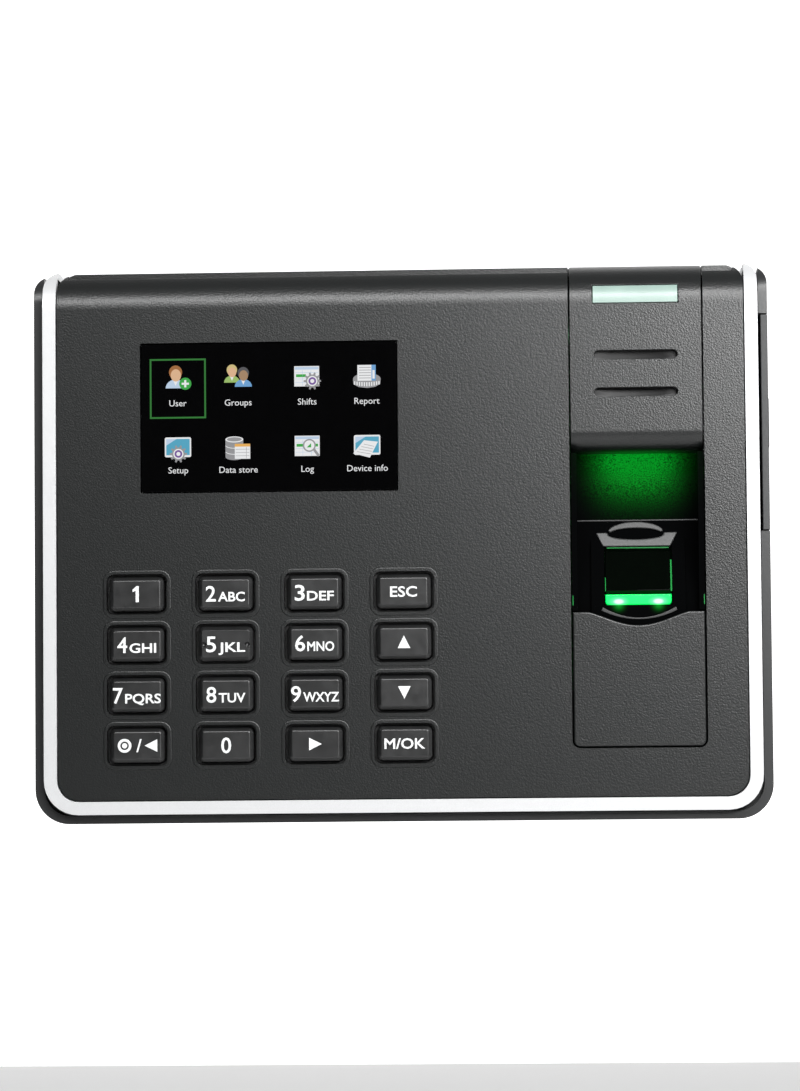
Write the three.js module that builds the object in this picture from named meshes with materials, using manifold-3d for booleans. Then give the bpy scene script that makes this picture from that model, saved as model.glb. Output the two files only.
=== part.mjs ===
// Fingerprint scanner terminal for a wall, in millimetres: +Z up, +X right, front towards -Y.
// The origin lies on the wall, behind the middle of the case.

import * as THREE from 'three';
import { mergeVertices } from 'three/addons/utils/BufferGeometryUtils.js';
import Module from 'manifold-3d';

const wasm = await Module();
wasm.setup();

// ---- Driving sizes: the case ----
const CASE_WIDTH = 181.2;
const CASE_HEIGHT = 136.8;
const CASE_DEPTH = 36.2; // wall to the face of the front cover
const CORNER_RADIUS = 8.5;
const TOP_CORNER_RADIUS = 5;
const TRIM_CORNER = 6.6; // outer corner of the trim
const COVER_CORNER = 2.8;
const COVER_INNER_CORNER = 1;
const TOP_ROLL = 10; // radius of the rolled top edge of the cover
const SHELL_WALL = 2.2;
const RIM_WIDTH = 2.5; // rear case seen outside the trim
const RIM_SETBACK = 2.4; // rim behind the face of the cover
const TRIM_WIDTH = 3.2;
const TRIM_PROUD = 0.7;
const TRIM_RISE = 0.5; // trim above the top of the case
const TRIM_DEPTH = 5.4;
const TRIM_TOP_THICKNESS = 2.3;
const TOP_SHELL_DEPTH = 15.7; // face of the cover to the rear end of its top
const TRIM_BAR_WIDTH = 3.2; // bar of the trim across the top
const FLANGE_THICKNESS = 2; // flange of the cover, behind the trim
const LEDGE_WIDTH = 1.5;
const ROOM_CORNER = 4;
const FIT = 0.3; // gap between pieces that meet
const OVERLAP = 1; // how far a tool, or a lug joined on, runs into the wall

// ---- Driving sizes: screen and keys ----
const SCREEN_WIDTH = 63.7;
const SCREEN_HEIGHT = 37.2;
const SCREEN_FROM_LEFT = 26.6;
const SCREEN_FROM_TOP = 18.5;
const SCREEN_CORNER = 0.5;
const WINDOW_THICKNESS = 1.6;
const WINDOW_TO_LCD = 0.55;
const LCD_THICKNESS = 2.4;
const LCD_MARGIN = 2.2; // display glass beyond the window
const TRAY_SHEET = 0.8;
const KEY_COLUMNS = 4;
const KEY_ROWS = 4;
const KEY_PITCH_X = 21.9;
const KEY_PITCH_Z = 12.4;
const KEY_FROM_LEFT = 25.6; // centre of the first column
const KEY_FROM_BOTTOM = 19.1; // centre of the last row
const KEY_WIDTH = 13.5;
const KEY_HEIGHT = 8.45;
const KEY_BEVEL = 0.95;
const KEY_CORNER = 0.8;
const KEY_HOLE_RADIUS = 1.8;
const KEY_PROUD = 1.1;
const KEY_CLEARANCE = 0.75;
const KEY_FLANGE = 1.3; // flange beyond the cap, behind the cover
const KEY_FLANGE_THICKNESS = 0.8;
const KEY_TRAVEL = 1;
const MEMBRANE_THICKNESS = 1.2;
const DOME_HEIGHT = 1;
const DOME_RADIUS = 3.2;
const DOME_TAPER = 0.75; // front of a dome as a share of its foot
const MEMBRANE_MARGIN = 2.6; // beyond the outer keys
const KEY_BOARD_MARGIN = 1.6;
const KEYPAD_CORNER = 2;
const BOARD_THICKNESS = 1.6;

// ---- Driving sizes: sensor column ----
const COLUMN_WIDTH = 33.4; // opening in the cover
const COLUMN_FROM_RIGHT = 15.7;
const COLUMN_STRIP = 3; // top of the cover left behind the column
const SEAM = 0.5;
const FASCIA_HEIGHT = 41.5; // top of the case to the lower end of the flat face
const FASCIA_WALL = 2;
const LIP_RADIUS = 5;
const LIP_DEPTH = 10.7;
const LENS_WIDTH = 21.4;
const LENS_HEIGHT = 5.2;
const LENS_FROM_TOP = 5.1;
const LENS_DEPTH = 4.6;
const LENS_FLANGE = 1;
const LENS_FLANGE_TOP = 0.6; // kept short under the rolled top
const LENS_BOARD_DEPTH = 6;
const LENS_BOARD_THICKNESS = 1.2;
const SLOT_WIDTH = 20.4;
const SLOT_HEIGHT = 2.2;
const SLOT_FROM_TOP = 22.9;
const SLOT_PITCH = 9.2;
const BAY_DEPTH = 11.2;
const BAY_WALL = 1.8;
const BAY_SIDE = 1.4;
const BAY_STEP = 1.2; // back of the bay below its front
const BAY_LEDGE_DROP = 16.5; // below the lip of the fascia, as the next four
const PRISM_TOP_DROP = 23.4;
const PRISM_BOTTOM_DROP = 34.4;
const BAR_BOTTOM_DROP = 37.3;
const PANEL_TOP_DROP = 39.5;
const PRISM_TOP_DEPTH = 9;
const PRISM_BOTTOM_DEPTH = 3.3;
const PRISM_WIDTH = 16.2;
const PRISM_THICKNESS = 4.6;
const BAR_DEPTH = 3;
const PANEL_FROM_BOTTOM = 17.8;
const PANEL_DIP_CHORD = 24.5;
const PANEL_DIP = 3.3;
const PANEL_CORNER = 1.6;
const PANEL_FLANGE = 1.4; // behind the cover
const PANEL_FLANGE_THICKNESS = 1.2;
const PANEL_FLANGE_DROP = 6.4;
const SPEAKER_RADIUS = 12;
const SPEAKER_DEPTH = 5.5;
const COLUMN_BOARD_WIDTH = 22;
const SENSOR_BOARD_TOP_DROP = 21;
const SENSOR_BOARD_HEIGHT = 24;

// ---- Driving sizes: back and inside ----
const PLATE_WIDTH = 110;
const PLATE_HEIGHT = 114;
const PLATE_FROM_BOTTOM = 6.4;
const PLATE_THICKNESS = 1.2;
const PLATE_CORNER = 2.7;
const PLATE_SLOT_X = 42;
const PLATE_SLOT_LENGTH = 10;
const PLATE_SLOT_WIDTH = 4.4;
const PLATE_SLOT_FROM_BOTTOM = 36;
const PLATE_SLOT_FROM_TOP = 24;
const HOOK_X = 40;
const HOOK_FROM_TOP = 12;
const HOOK_WIDTH = 8;
const HOOK_REACH = 2.4; // in front of the back wall of the case
const HOOK_HEIGHT = 3.8;
const HOOK_SLOT_WIDTH = 10;
const LOCK_X = 44;
const LOCK_FROM_BACK = 6;
const LOCK_HEAD_RECESS = 1.2;
const LOCK_TAB_WIDTH = 13;
const LOCK_TAB_REACH = 3.4; // tab beyond the middle of the lock screw
const BACK_GAP = 0.6; // rim of the rear case off the wall
const BAY_WINDOW_WIDTH = 66; // cable bay through the back
const BAY_WINDOW_HEIGHT = 22;
const BAY_WINDOW_X = -10;
const BAY_WINDOW_FROM_BOTTOM = 8.4;
const BOARD_STANDOFF = 3.7;
const BOARD_MARGIN = 18.6;
const BOARD_FROM_TOP = 10.4;
const BOARD_OVER_BAY = 2;
const BOARD_SCREW_MARGIN = 6;
const BOARD_POST_RADIUS = 3;
const BOARD_EAR_HALF = 12; // half the height of the ear that carries the USB socket
const BOARD_EAR_GAP = 2.6; // ear to the outside of the trim
const SOCKET_OVERHANG = 0.6; // sockets below the edge of the main board
const CASE_SCREW_MARGIN = 12.1; // in from the sides, top and bottom
const SCREW_RADIUS = 1.3;
const SCREW_HEAD_RADIUS = 2.9;
const SCREW_HEAD_RECESS = 2.3;
const CASE_SCREW_LENGTH = 20;
const BOARD_SCREW_LENGTH = 4.6;
const LOCK_SCREW_LENGTH = 12;
const BOSS_RADIUS = 3.2;
const REAR_BOSS_RADIUS = 4;
const BOSS_TO_BOARD = 5; // where the bosses of cover and case meet, in front of the board
const DOOR_LENGTH = 53;
const DOOR_FROM_TOP = 13.2;
const DOOR_THICKNESS = 1.7;
const DOOR_STRIP = 1.8; // fixed strip behind the hinge of the port cover
const DOOR_FROM_BACK = 1.2;
const USB_WIDTH = 14.4;
const USB_HEIGHT = 7;
const USB_LENGTH = 14;
const TAMPER_X = 30;
const TAMPER_Z = 20;
const TAMPER_TRAVEL = 1.2;
const TAMPER_BODY_WIDTH = 6.4;
const TAMPER_FLOOR = 0.7;
const PLUNGER_RADIUS = 1.5;
const PLUNGER_SPARE = 0.2; // room left in front of a plunger pressed home
const CELL_RADIUS = 10;
const CELL_THICKNESS = 3.2;
const CELL_FROM_LEFT = 33;
const CELL_DROP = 34; // below the top of the main board
const BUZZER_RADIUS = 6;
const BUZZER_HEIGHT = 8;
const BUZZER_FROM_RIGHT = 60;
const BUZZER_DROP = 16;
const RIBBON_THICKNESS = 0.4;

// ---- Derived places ----
const half = CASE_WIDTH / 2;
const top = CASE_HEIGHT / 2;
const bottom = -top;
const face = -CASE_DEPTH;
const inside = face + SHELL_WALL;
const trimHalf = half - RIM_WIDTH;
const trimBottom = bottom + RIM_WIDTH - FIT;
const trimInner = trimHalf - TRIM_WIDTH;
const trimInnerBottom = trimBottom + TRIM_WIDTH;
const coverHalf = trimInner - FIT;
const coverBottom = trimInnerBottom + FIT;
const coverBack = face + TOP_SHELL_DEPTH;
const trimFront = face - TRIM_PROUD;
const trimTop = top + TRIM_RISE;
const trimCore = trimFront + TRIM_DEPTH;
const trimCoreTop = trimTop - TRIM_TOP_THICKNESS;
const trimRoll = TOP_ROLL + TRIM_PROUD;
const trimBack = coverBack + FIT + TRIM_BAR_WIDTH;
const flangeFront = trimCore + FIT;
const flangeBack = flangeFront + FLANGE_THICKNESS;
const ledge = flangeBack + FIT;
const rimFront = face + RIM_SETBACK;
const plateRecess = -PLATE_THICKNESS - FIT;
const backInside = plateRecess - SHELL_WALL;
const FAR = 400; // reach of a cutting tool beyond the case

const screenLeft = -half + SCREEN_FROM_LEFT;
const screenTop = top - SCREEN_FROM_TOP;
const columnRight = half - COLUMN_FROM_RIGHT;
const columnX = columnRight - COLUMN_WIDTH / 2;
const columnHalf = COLUMN_WIDTH / 2 - SEAM;
const fasciaBottom = top - FASCIA_HEIGHT;
const lipBottom = fasciaBottom - LIP_RADIUS;
const panelTop = lipBottom - PANEL_TOP_DROP;
const panelBottom = bottom + PANEL_FROM_BOTTOM;
const flangeRest = inside + FIT; // front of the key flanges
const membraneFront = flangeRest + KEY_FLANGE_THICKNESS + KEY_TRAVEL + DOME_HEIGHT + FIT;
const mainBoardBack = backInside - BOARD_STANDOFF - FIT;
const mainBoardFront = mainBoardBack - BOARD_THICKNESS;
const boardTop = top - BOARD_FROM_TOP;
const plateBottom = bottom + PLATE_FROM_BOTTOM;
const plateTop = plateBottom + PLATE_HEIGHT;
const bayWindowBottom = bottom + BAY_WINDOW_FROM_BOTTOM;
const bayWindowTop = bayWindowBottom + BAY_WINDOW_HEIGHT;
const boardBottom = bayWindowTop + BOARD_OVER_BAY;
const doorTop = top - DOOR_FROM_TOP;
const doorBottom = doorTop - DOOR_LENGTH;
const usbZ = (doorTop + doorBottom) / 2;

// ---- Solids ----
function toSolid(geometry) {
  const bare = geometry.clone();
  bare.deleteAttribute('normal');
  bare.deleteAttribute('uv');
  const merged = mergeVertices(bare, 1e-4);
  return new wasm.Manifold(new wasm.Mesh({
    numProp: 3,
    vertProperties: new Float32Array(merged.attributes.position.array),
    triVerts: new Uint32Array(merged.index.array),
  }));
}

function toGeometry(solid) {
  const mesh = solid.getMesh();
  const geometry = new THREE.BufferGeometry();
  geometry.setAttribute('position', new THREE.BufferAttribute(mesh.vertProperties, 3));
  geometry.setIndex(new THREE.BufferAttribute(mesh.triVerts, 1));
  geometry.computeVertexNormals();
  return geometry;
}

const join = (first, ...others) => others.reduce((sum, next) => sum.add(next), first);
const cut = (first, ...others) => others.reduce((rest, next) => rest.subtract(next), first);
const common = (first, ...others) => others.reduce((part, next) => part.intersect(next), first);

// A rectangle with its own radius at each corner: [low left, low right, high right, high left].
function rounded(left, right, low, high, radii) {
  const shape = new THREE.Shape();
  const [lowLeft, lowRight, highRight, highLeft] = Array.isArray(radii)
    ? radii : [radii, radii, radii, radii];
  const quarter = Math.PI / 2;
  const corner = (x, y, radius, turn) => {
    if (radius > 0) shape.absarc(x, y, radius, turn * quarter, (turn + 1) * quarter);
    else shape.lineTo(x, y);
  };
  shape.moveTo(left + lowLeft, low);
  corner(right - lowRight, low + lowRight, lowRight, 3);
  corner(right - highRight, high - highRight, highRight, 0);
  corner(left + highLeft, high - highLeft, highLeft, 1);
  corner(left + lowLeft, low + lowLeft, lowLeft, 2);
  return shape;
}

function polygon(points) {
  return new THREE.Shape(points.map(([x, y]) => new THREE.Vector2(x, y)));
}

function extrude(shape, depth, segments = 4) {
  return new THREE.ExtrudeGeometry(shape, { depth, bevelEnabled: false, curveSegments: segments });
}

// A shape drawn in X and Z, standing between two values of Y.
function alongY(shape, from, to, segments) {
  return toSolid(extrude(shape, to - from, segments).rotateX(Math.PI / 2).translate(0, to, 0));
}

// A shape drawn in Y and Z, standing between two values of X.
function alongX(shape, from, to, segments) {
  const turn = new THREE.Matrix4().makeBasis(
    new THREE.Vector3(0, 1, 0), new THREE.Vector3(0, 0, 1), new THREE.Vector3(1, 0, 0));
  return toSolid(extrude(shape, to - from, segments).applyMatrix4(turn).translate(from, 0, 0));
}

function box(left, right, front, back, low, high) {
  return alongY(rounded(left, right, low, high, 0), front, back);
}

function rodY(x, z, radius, from, to, sides = 12) {
  const rod = new THREE.CylinderGeometry(radius, radius, to - from, sides);
  return toSolid(rod.translate(x, (from + to) / 2, z));
}

function rodZ(x, y, radius, from, to, sides = 12) {
  const rod = new THREE.CylinderGeometry(radius, radius, to - from, sides);
  return toSolid(rod.rotateX(Math.PI / 2).translate(x, y, (from + to) / 2));
}

// The side view of a shell whose top front edge is rolled: drawn in Y and Z.
function rolled(front, back, low, high, radius) {
  const shape = new THREE.Shape();
  shape.moveTo(back, low);
  shape.lineTo(back, high);
  shape.lineTo(front + radius, high);
  shape.absarc(front + radius, high - radius, radius, Math.PI / 2, Math.PI);
  shape.lineTo(front, low);
  return shape;
}

function rolledBlock(halfWidth, low, radii, profile, back) {
  const plan = rounded(-halfWidth, halfWidth, low, FAR, radii);
  return common(alongY(plan, -FAR, back, 6), alongX(profile, -FAR, FAR, 10));
}

// ---- Materials and the scene graph ----
const finish = (color, roughness, metalness = 0) => ({ color, roughness, metalness });
const FINISHES = {
  grainedBlack: finish(0x2b2d2f, 0.55),
  glossBlack: finish(0x0c0d0e, 0.15),
  satinBlack: finish(0x18191a, 0.35),
  silver: finish(0xdfe1e2, 0.3, 0.6),
  rubber: finish(0x232323, 0.8),
  steel: finish(0xa8abad, 0.35, 0.9),
  darkSteel: finish(0x3a3b3d, 0.4, 0.8),
  mint: finish(0xd5efe2, 0.3),
  greenLight: finish(0x2cf060, 0.3),
  darkGlass: finish(0x06140a, 0.05),
  circuitGreen: finish(0x1d5c34, 0.5),
  greyPlastic: finish(0x8d9092, 0.5),
  ribbon: finish(0xc9a860, 0.4),
};

const terminal = new THREE.Group();

function place(name, shape, finishName, parent = terminal) {
  const geometry = shape.isBufferGeometry ? shape : toGeometry(shape);
  const mesh = new THREE.Mesh(geometry, new THREE.MeshStandardMaterial(FINISHES[finishName]));
  mesh.name = name;
  parent.add(mesh);
  return mesh;
}

// ---- The keys: one solid and its grid ----
function keyCentres() {
  const centres = [];
  for (let row = 0; row < KEY_ROWS; row += 1) {
    for (let column = 0; column < KEY_COLUMNS; column += 1) {
      centres.push({
        name: `key_${row + 1}_${column + 1}`,
        x: -half + KEY_FROM_LEFT + column * KEY_PITCH_X,
        z: bottom + KEY_FROM_BOTTOM + (KEY_ROWS - 1 - row) * KEY_PITCH_Z,
      });
    }
  }
  return centres;
}

function keySolid() {
  const front = face - KEY_PROUD;
  const flangeBackY = flangeRest + KEY_FLANGE_THICKNESS;
  const crown = rounded(
    -KEY_WIDTH / 2 + KEY_BEVEL, KEY_WIDTH / 2 - KEY_BEVEL,
    -KEY_HEIGHT / 2 + KEY_BEVEL, KEY_HEIGHT / 2 - KEY_BEVEL, KEY_CORNER);
  const cap = new THREE.ExtrudeGeometry(crown, {
    depth: flangeBackY - front - 2 * KEY_BEVEL,
    bevelEnabled: true,
    bevelThickness: KEY_BEVEL,
    bevelSize: KEY_BEVEL,
    bevelSegments: 1,
    curveSegments: 1,
  });
  cap.rotateX(Math.PI / 2).translate(0, flangeBackY - KEY_BEVEL, 0);
  const wide = KEY_WIDTH / 2 + KEY_FLANGE;
  const high = KEY_HEIGHT / 2 + KEY_FLANGE;
  return join(toSolid(cap), box(-wide, wide, flangeRest, flangeBackY, -high, high));
}

function keyHole({ x, z }) {
  const wide = KEY_WIDTH / 2 + KEY_CLEARANCE;
  const high = KEY_HEIGHT / 2 + KEY_CLEARANCE;
  const plan = rounded(x - wide, x + wide, z - high, z + high, KEY_HOLE_RADIUS);
  return alongY(plan, -FAR, inside + OVERLAP, 2);
}

// ---- Screws ----
const caseScrewPlaces = [-1, 1].flatMap((side) => [bottom + CASE_SCREW_MARGIN, top - CASE_SCREW_MARGIN]
  .map((z) => ({ x: side * (half - CASE_SCREW_MARGIN), z })));
const boardScrewPlaces = [-1, 1].flatMap((side) => (
  [boardBottom + BOARD_SCREW_MARGIN, boardTop - BOARD_SCREW_MARGIN]
    .map((z) => ({ x: side * (half - BOARD_MARGIN - BOARD_SCREW_MARGIN), z }))));
const bossJoint = mainBoardFront - BOSS_TO_BOARD;
const headSeat = -BACK_GAP - SCREW_HEAD_RECESS;
const screwHole = SCREW_RADIUS + FIT;

// A pan-head screw along Y: the seat of its head is at Y = 0, and its shank points to -Y.
function screw(length, radius, headRadius, headHeight) {
  const profile = [
    [0, -length], [radius, -length], [radius, 0],
    [headRadius, 0], [headRadius, headHeight], [0, headHeight],
  ].map(([x, y]) => new THREE.Vector2(x, y));
  return new THREE.LatheGeometry(profile, 10);
}

// ---- Front assembly ----
function frontCover() {
  const outer = rolledBlock(coverHalf, coverBottom, [COVER_CORNER, COVER_CORNER, 0, 0],
    rolled(face, coverBack, -FAR, top, TOP_ROLL), coverBack);
  const hollow = rolledBlock(coverHalf - SHELL_WALL, coverBottom + SHELL_WALL,
    [COVER_INNER_CORNER, COVER_INNER_CORNER, 0, 0],
    rolled(inside, FAR, -FAR, top - SHELL_WALL, TOP_ROLL - SHELL_WALL), FAR);
  const flangeCorner = TRIM_CORNER - FIT;
  const flangePlan = rounded(-trimHalf, trimHalf, trimBottom, FAR, [flangeCorner, flangeCorner, 0, 0]);
  const flangeSide = rolled(
    flangeFront, FAR, -FAR, trimCoreTop - FIT, trimRoll - TRIM_TOP_THICKNESS - FIT);
  const flange = cut(
    common(alongY(flangePlan, flangeFront, flangeBack, 6), alongX(flangeSide, -FAR, FAR, 10)),
    box(OVERLAP - coverHalf, coverHalf - OVERLAP, -FAR, FAR, coverBottom + OVERLAP, FAR));
  const bosses = caseScrewPlaces.map(({ x, z }) => (
    rodY(x, z, BOSS_RADIUS, inside - OVERLAP, bossJoint - FIT)));
  const bossHoles = caseScrewPlaces.map(({ x, z }) => rodY(x, z, screwHole, inside + OVERLAP, FAR, 10));
  const keyHoles = keyCentres().map(keyHole);
  const screenPlan = rounded(
    screenLeft, screenLeft + SCREEN_WIDTH, screenTop - SCREEN_HEIGHT, screenTop, SCREEN_CORNER);
  const screenHole = alongY(screenPlan, -FAR, inside + OVERLAP, 2);
  const columnHole = box(columnRight - COLUMN_WIDTH, columnRight,
    -FAR, coverBack - COLUMN_STRIP, panelBottom - SEAM, FAR);
  return cut(join(cut(outer, hollow), flange, ...bosses),
    ...bossHoles, ...keyHoles, screenHole, columnHole);
}

function trimFrame() {
  const blank = rolledBlock(trimHalf, trimBottom, [TRIM_CORNER, TRIM_CORNER, 0, 0],
    rolled(trimFront, trimBack, -FAR, trimTop, trimRoll), trimBack);
  const core = alongX(
    rolled(trimCore, FAR, -FAR, trimCoreTop, trimRoll - TRIM_TOP_THICKNESS), -FAR, FAR, 10);
  const openingCorner = COVER_CORNER + FIT;
  const openingPlan = rounded(
    -trimInner, trimInner, trimInnerBottom, FAR, [openingCorner, openingCorner, 0, 0]);
  return cut(blank, core, alongY(openingPlan, -FAR, coverBack + FIT, 6));
}

const lcdFront = inside + FIT;
const lcdBack = lcdFront + LCD_THICKNESS;

function screenWindow() {
  const plan = rounded(screenLeft + FIT, screenLeft + SCREEN_WIDTH - FIT,
    screenTop - SCREEN_HEIGHT + FIT, screenTop - FIT, SCREEN_CORNER);
  const windowBack = lcdFront - WINDOW_TO_LCD;
  return alongY(plan, windowBack - WINDOW_THICKNESS, windowBack, 2);
}

function lcdBox(margin, front, back) {
  return box(screenLeft - LCD_MARGIN - margin, screenLeft + SCREEN_WIDTH + LCD_MARGIN + margin,
    front, back, screenTop - SCREEN_HEIGHT - LCD_MARGIN - margin, screenTop + LCD_MARGIN + margin);
}

function lcdTray() {
  return cut(
    lcdBox(FIT + TRAY_SHEET, lcdFront + FIT, lcdBack + FIT + TRAY_SHEET),
    lcdBox(FIT, -FAR, lcdBack + FIT));
}

function keypadBounds(margin) {
  const centres = keyCentres();
  return {
    left: centres[0].x - KEY_WIDTH / 2 - margin,
    right: centres[KEY_COLUMNS - 1].x + KEY_WIDTH / 2 + margin,
    high: centres[0].z + KEY_HEIGHT / 2 + margin,
    low: centres[centres.length - 1].z - KEY_HEIGHT / 2 - margin,
  };
}

function keypadSheet(margin, from, to) {
  const { left, right, low, high } = keypadBounds(margin);
  return alongY(rounded(left, right, low, high, KEYPAD_CORNER), from, to, 2);
}

function keypadMembrane() {
  const domes = keyCentres().map(({ x, z }) => toSolid(
    new THREE.CylinderGeometry(DOME_RADIUS, DOME_RADIUS * DOME_TAPER, DOME_HEIGHT + FIT, 8)
      .translate(x, membraneFront + (FIT - DOME_HEIGHT) / 2, z)));
  return join(keypadSheet(MEMBRANE_MARGIN, membraneFront, membraneFront + MEMBRANE_THICKNESS), ...domes);
}

const keypadBoardFront = membraneFront + MEMBRANE_THICKNESS + FIT;
const keypadBoardBack = keypadBoardFront + BOARD_THICKNESS;

// ---- Sensor column ----
function sensorFascia() {
  const back = coverBack - COLUMN_STRIP - FIT;
  const shape = new THREE.Shape();
  const wallRoll = TOP_ROLL - FASCIA_WALL;
  const lipBack = face + LIP_DEPTH;
  shape.moveTo(back, top);
  shape.lineTo(face + TOP_ROLL, top);
  shape.absarc(face + TOP_ROLL, top - TOP_ROLL, TOP_ROLL, Math.PI / 2, Math.PI);
  shape.absarc(face + LIP_RADIUS, fasciaBottom, LIP_RADIUS, Math.PI, 1.5 * Math.PI);
  shape.lineTo(lipBack, lipBottom);
  shape.lineTo(lipBack, lipBottom + FASCIA_WALL);
  shape.absarc(face + LIP_RADIUS, fasciaBottom, LIP_RADIUS - FASCIA_WALL, 1.5 * Math.PI, Math.PI, true);
  shape.absarc(face + TOP_ROLL, top - TOP_ROLL, wallRoll, Math.PI, Math.PI / 2, true);
  shape.lineTo(back, top - FASCIA_WALL);
  const body = alongX(shape, columnX - columnHalf, columnX + columnHalf, 8);
  const lensHole = box(columnX - LENS_WIDTH / 2, columnX + LENS_WIDTH / 2, -FAR, face + TOP_ROLL,
    top - LENS_FROM_TOP - LENS_HEIGHT, top - LENS_FROM_TOP);
  const slots = [0, 1].map((row) => {
    const z = top - SLOT_FROM_TOP - row * SLOT_PITCH;
    const plan = rounded(columnX - SLOT_WIDTH / 2, columnX + SLOT_WIDTH / 2,
      z - SLOT_HEIGHT / 2, z + SLOT_HEIGHT / 2, SLOT_HEIGHT / 2 - 0.01);
    return alongY(plan, -FAR, face + TOP_ROLL, 4);
  });
  return cut(body, lensHole, ...slots);
}

function indicatorLens() {
  const low = top - LENS_FROM_TOP - LENS_HEIGHT;
  const high = top - LENS_FROM_TOP;
  const wide = LENS_WIDTH / 2;
  const faceBlock = common(
    box(columnX - wide + FIT, columnX + wide - FIT, -FAR, face + LENS_DEPTH, low + FIT, high - FIT),
    alongX(rolled(face + FIT, FAR, -FAR, top - FIT, TOP_ROLL - FIT), -FAR, FAR, 12));
  const flange = box(columnX - wide - LENS_FLANGE, columnX + wide + LENS_FLANGE,
    face + LENS_DEPTH - 0.4, face + LENS_DEPTH + 0.6, low - LENS_FLANGE, high - LENS_FLANGE_TOP);
  return join(faceBlock, flange);
}

const speakerZ = top - SLOT_FROM_TOP - SLOT_PITCH / 2;
const speakerFront = face + FASCIA_WALL + FIT;

function speakerCone() {
  const profile = [
    [0, 1.6], [SPEAKER_RADIUS * 0.7, 0.6], [SPEAKER_RADIUS * 0.86, 0], [SPEAKER_RADIUS, 0],
    [SPEAKER_RADIUS, 2], [SPEAKER_RADIUS * 0.8, 2.6], [SPEAKER_RADIUS * 0.55, 2.6],
    [SPEAKER_RADIUS * 0.55, SPEAKER_DEPTH], [0, SPEAKER_DEPTH],
  ].map(([x, y]) => new THREE.Vector2(x, y));
  return new THREE.LatheGeometry(profile, 16);
}

// Front surface of the finger bay in Y and Z, from the lip of the fascia down behind the panel.
const baySurface = [
  [face + BAY_DEPTH, lipBottom + 1.6],
  [face + BAY_DEPTH - 0.6, lipBottom - BAY_LEDGE_DROP],
  [face + PRISM_TOP_DEPTH + 0.4, lipBottom - BAY_LEDGE_DROP],
  [face + PRISM_TOP_DEPTH, lipBottom - PRISM_TOP_DROP],
  [face + PRISM_BOTTOM_DEPTH, lipBottom - PRISM_BOTTOM_DROP],
  [face + PRISM_BOTTOM_DEPTH - 0.4, lipBottom - BAR_BOTTOM_DROP],
  [face + FASCIA_WALL + 0.5, panelTop + 0.4],
  [face + FASCIA_WALL + 0.4, panelTop - 4.9],
];

function fingerBay() {
  const last = baySurface.length - 1;
  const rear = baySurface.map(([y, z], index) => (
    [y + BAY_WALL, index === 0 || index === last ? z : z - BAY_STEP]));
  const left = columnX - columnHalf;
  const right = columnX + columnHalf;
  const sheet = alongX(polygon([...baySurface, ...rear.slice().reverse()]), left, right);
  const sideOutline = [
    [face + 0.2, lipBottom - FIT - 0.1], [rear[0][0], lipBottom - FIT - 0.1],
    ...rear.slice(1, last), [rear[last][0], panelTop + FIT], [face + 0.2, panelTop + FIT],
  ].filter(([, z]) => z >= panelTop + FIT - 1e-6);
  const sides = [left, right - BAY_SIDE].map((x) => alongX(polygon(sideOutline), x, x + BAY_SIDE));
  const window = box(columnX - PRISM_WIDTH / 2 - FIT, columnX + PRISM_WIDTH / 2 + FIT,
    face + OVERLAP, FAR, lipBottom - BAR_BOTTOM_DROP, lipBottom - PRISM_TOP_DROP);
  return cut(join(sheet, ...sides), window);
}

const prismTop = [face + PRISM_TOP_DEPTH, lipBottom - PRISM_TOP_DROP - FIT];
const prismBottom = [face + PRISM_BOTTOM_DEPTH, lipBottom - PRISM_BOTTOM_DROP + FIT / 2];
const prismSlope = Math.atan2(prismTop[0] - prismBottom[0], prismTop[1] - prismBottom[1]);

// A point behind the slope of the prism, square to its face.
function behindPrism([y, z], depth) {
  return [y + depth * Math.cos(prismSlope), z - depth * Math.sin(prismSlope)];
}

function sensorPrism() {
  return alongX(polygon([
    prismTop, prismBottom, behindPrism(prismBottom, PRISM_THICKNESS), behindPrism(prismTop, PRISM_THICKNESS),
  ]), columnX - PRISM_WIDTH / 2, columnX + PRISM_WIDTH / 2);
}

function lightBar() {
  const high = prismBottom[1] - FIT * 1.2;
  const low = lipBottom - BAR_BOTTOM_DROP + FIT;
  return alongX(polygon([
    [prismBottom[0], high], [prismBottom[0] - 0.3, low],
    [prismBottom[0] + BAR_DEPTH, low - 0.2],
    [prismBottom[0] + BAR_DEPTH, high - BAR_DEPTH * Math.tan(prismSlope)],
  ]), columnX - PRISM_WIDTH / 2, columnX + PRISM_WIDTH / 2);
}

const moduleBack = mainBoardFront - 3.4;

function sensorModule() {
  const upper = behindPrism(prismTop, PRISM_THICKNESS + FIT * 1.5);
  const lower = behindPrism(prismBottom, PRISM_THICKNESS + FIT * 1.5);
  return alongX(polygon([
    upper, lower, [moduleBack, lower[1]], [moduleBack, upper[1]],
  ]), columnX - PRISM_WIDTH / 2, columnX + PRISM_WIDTH / 2);
}

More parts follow.
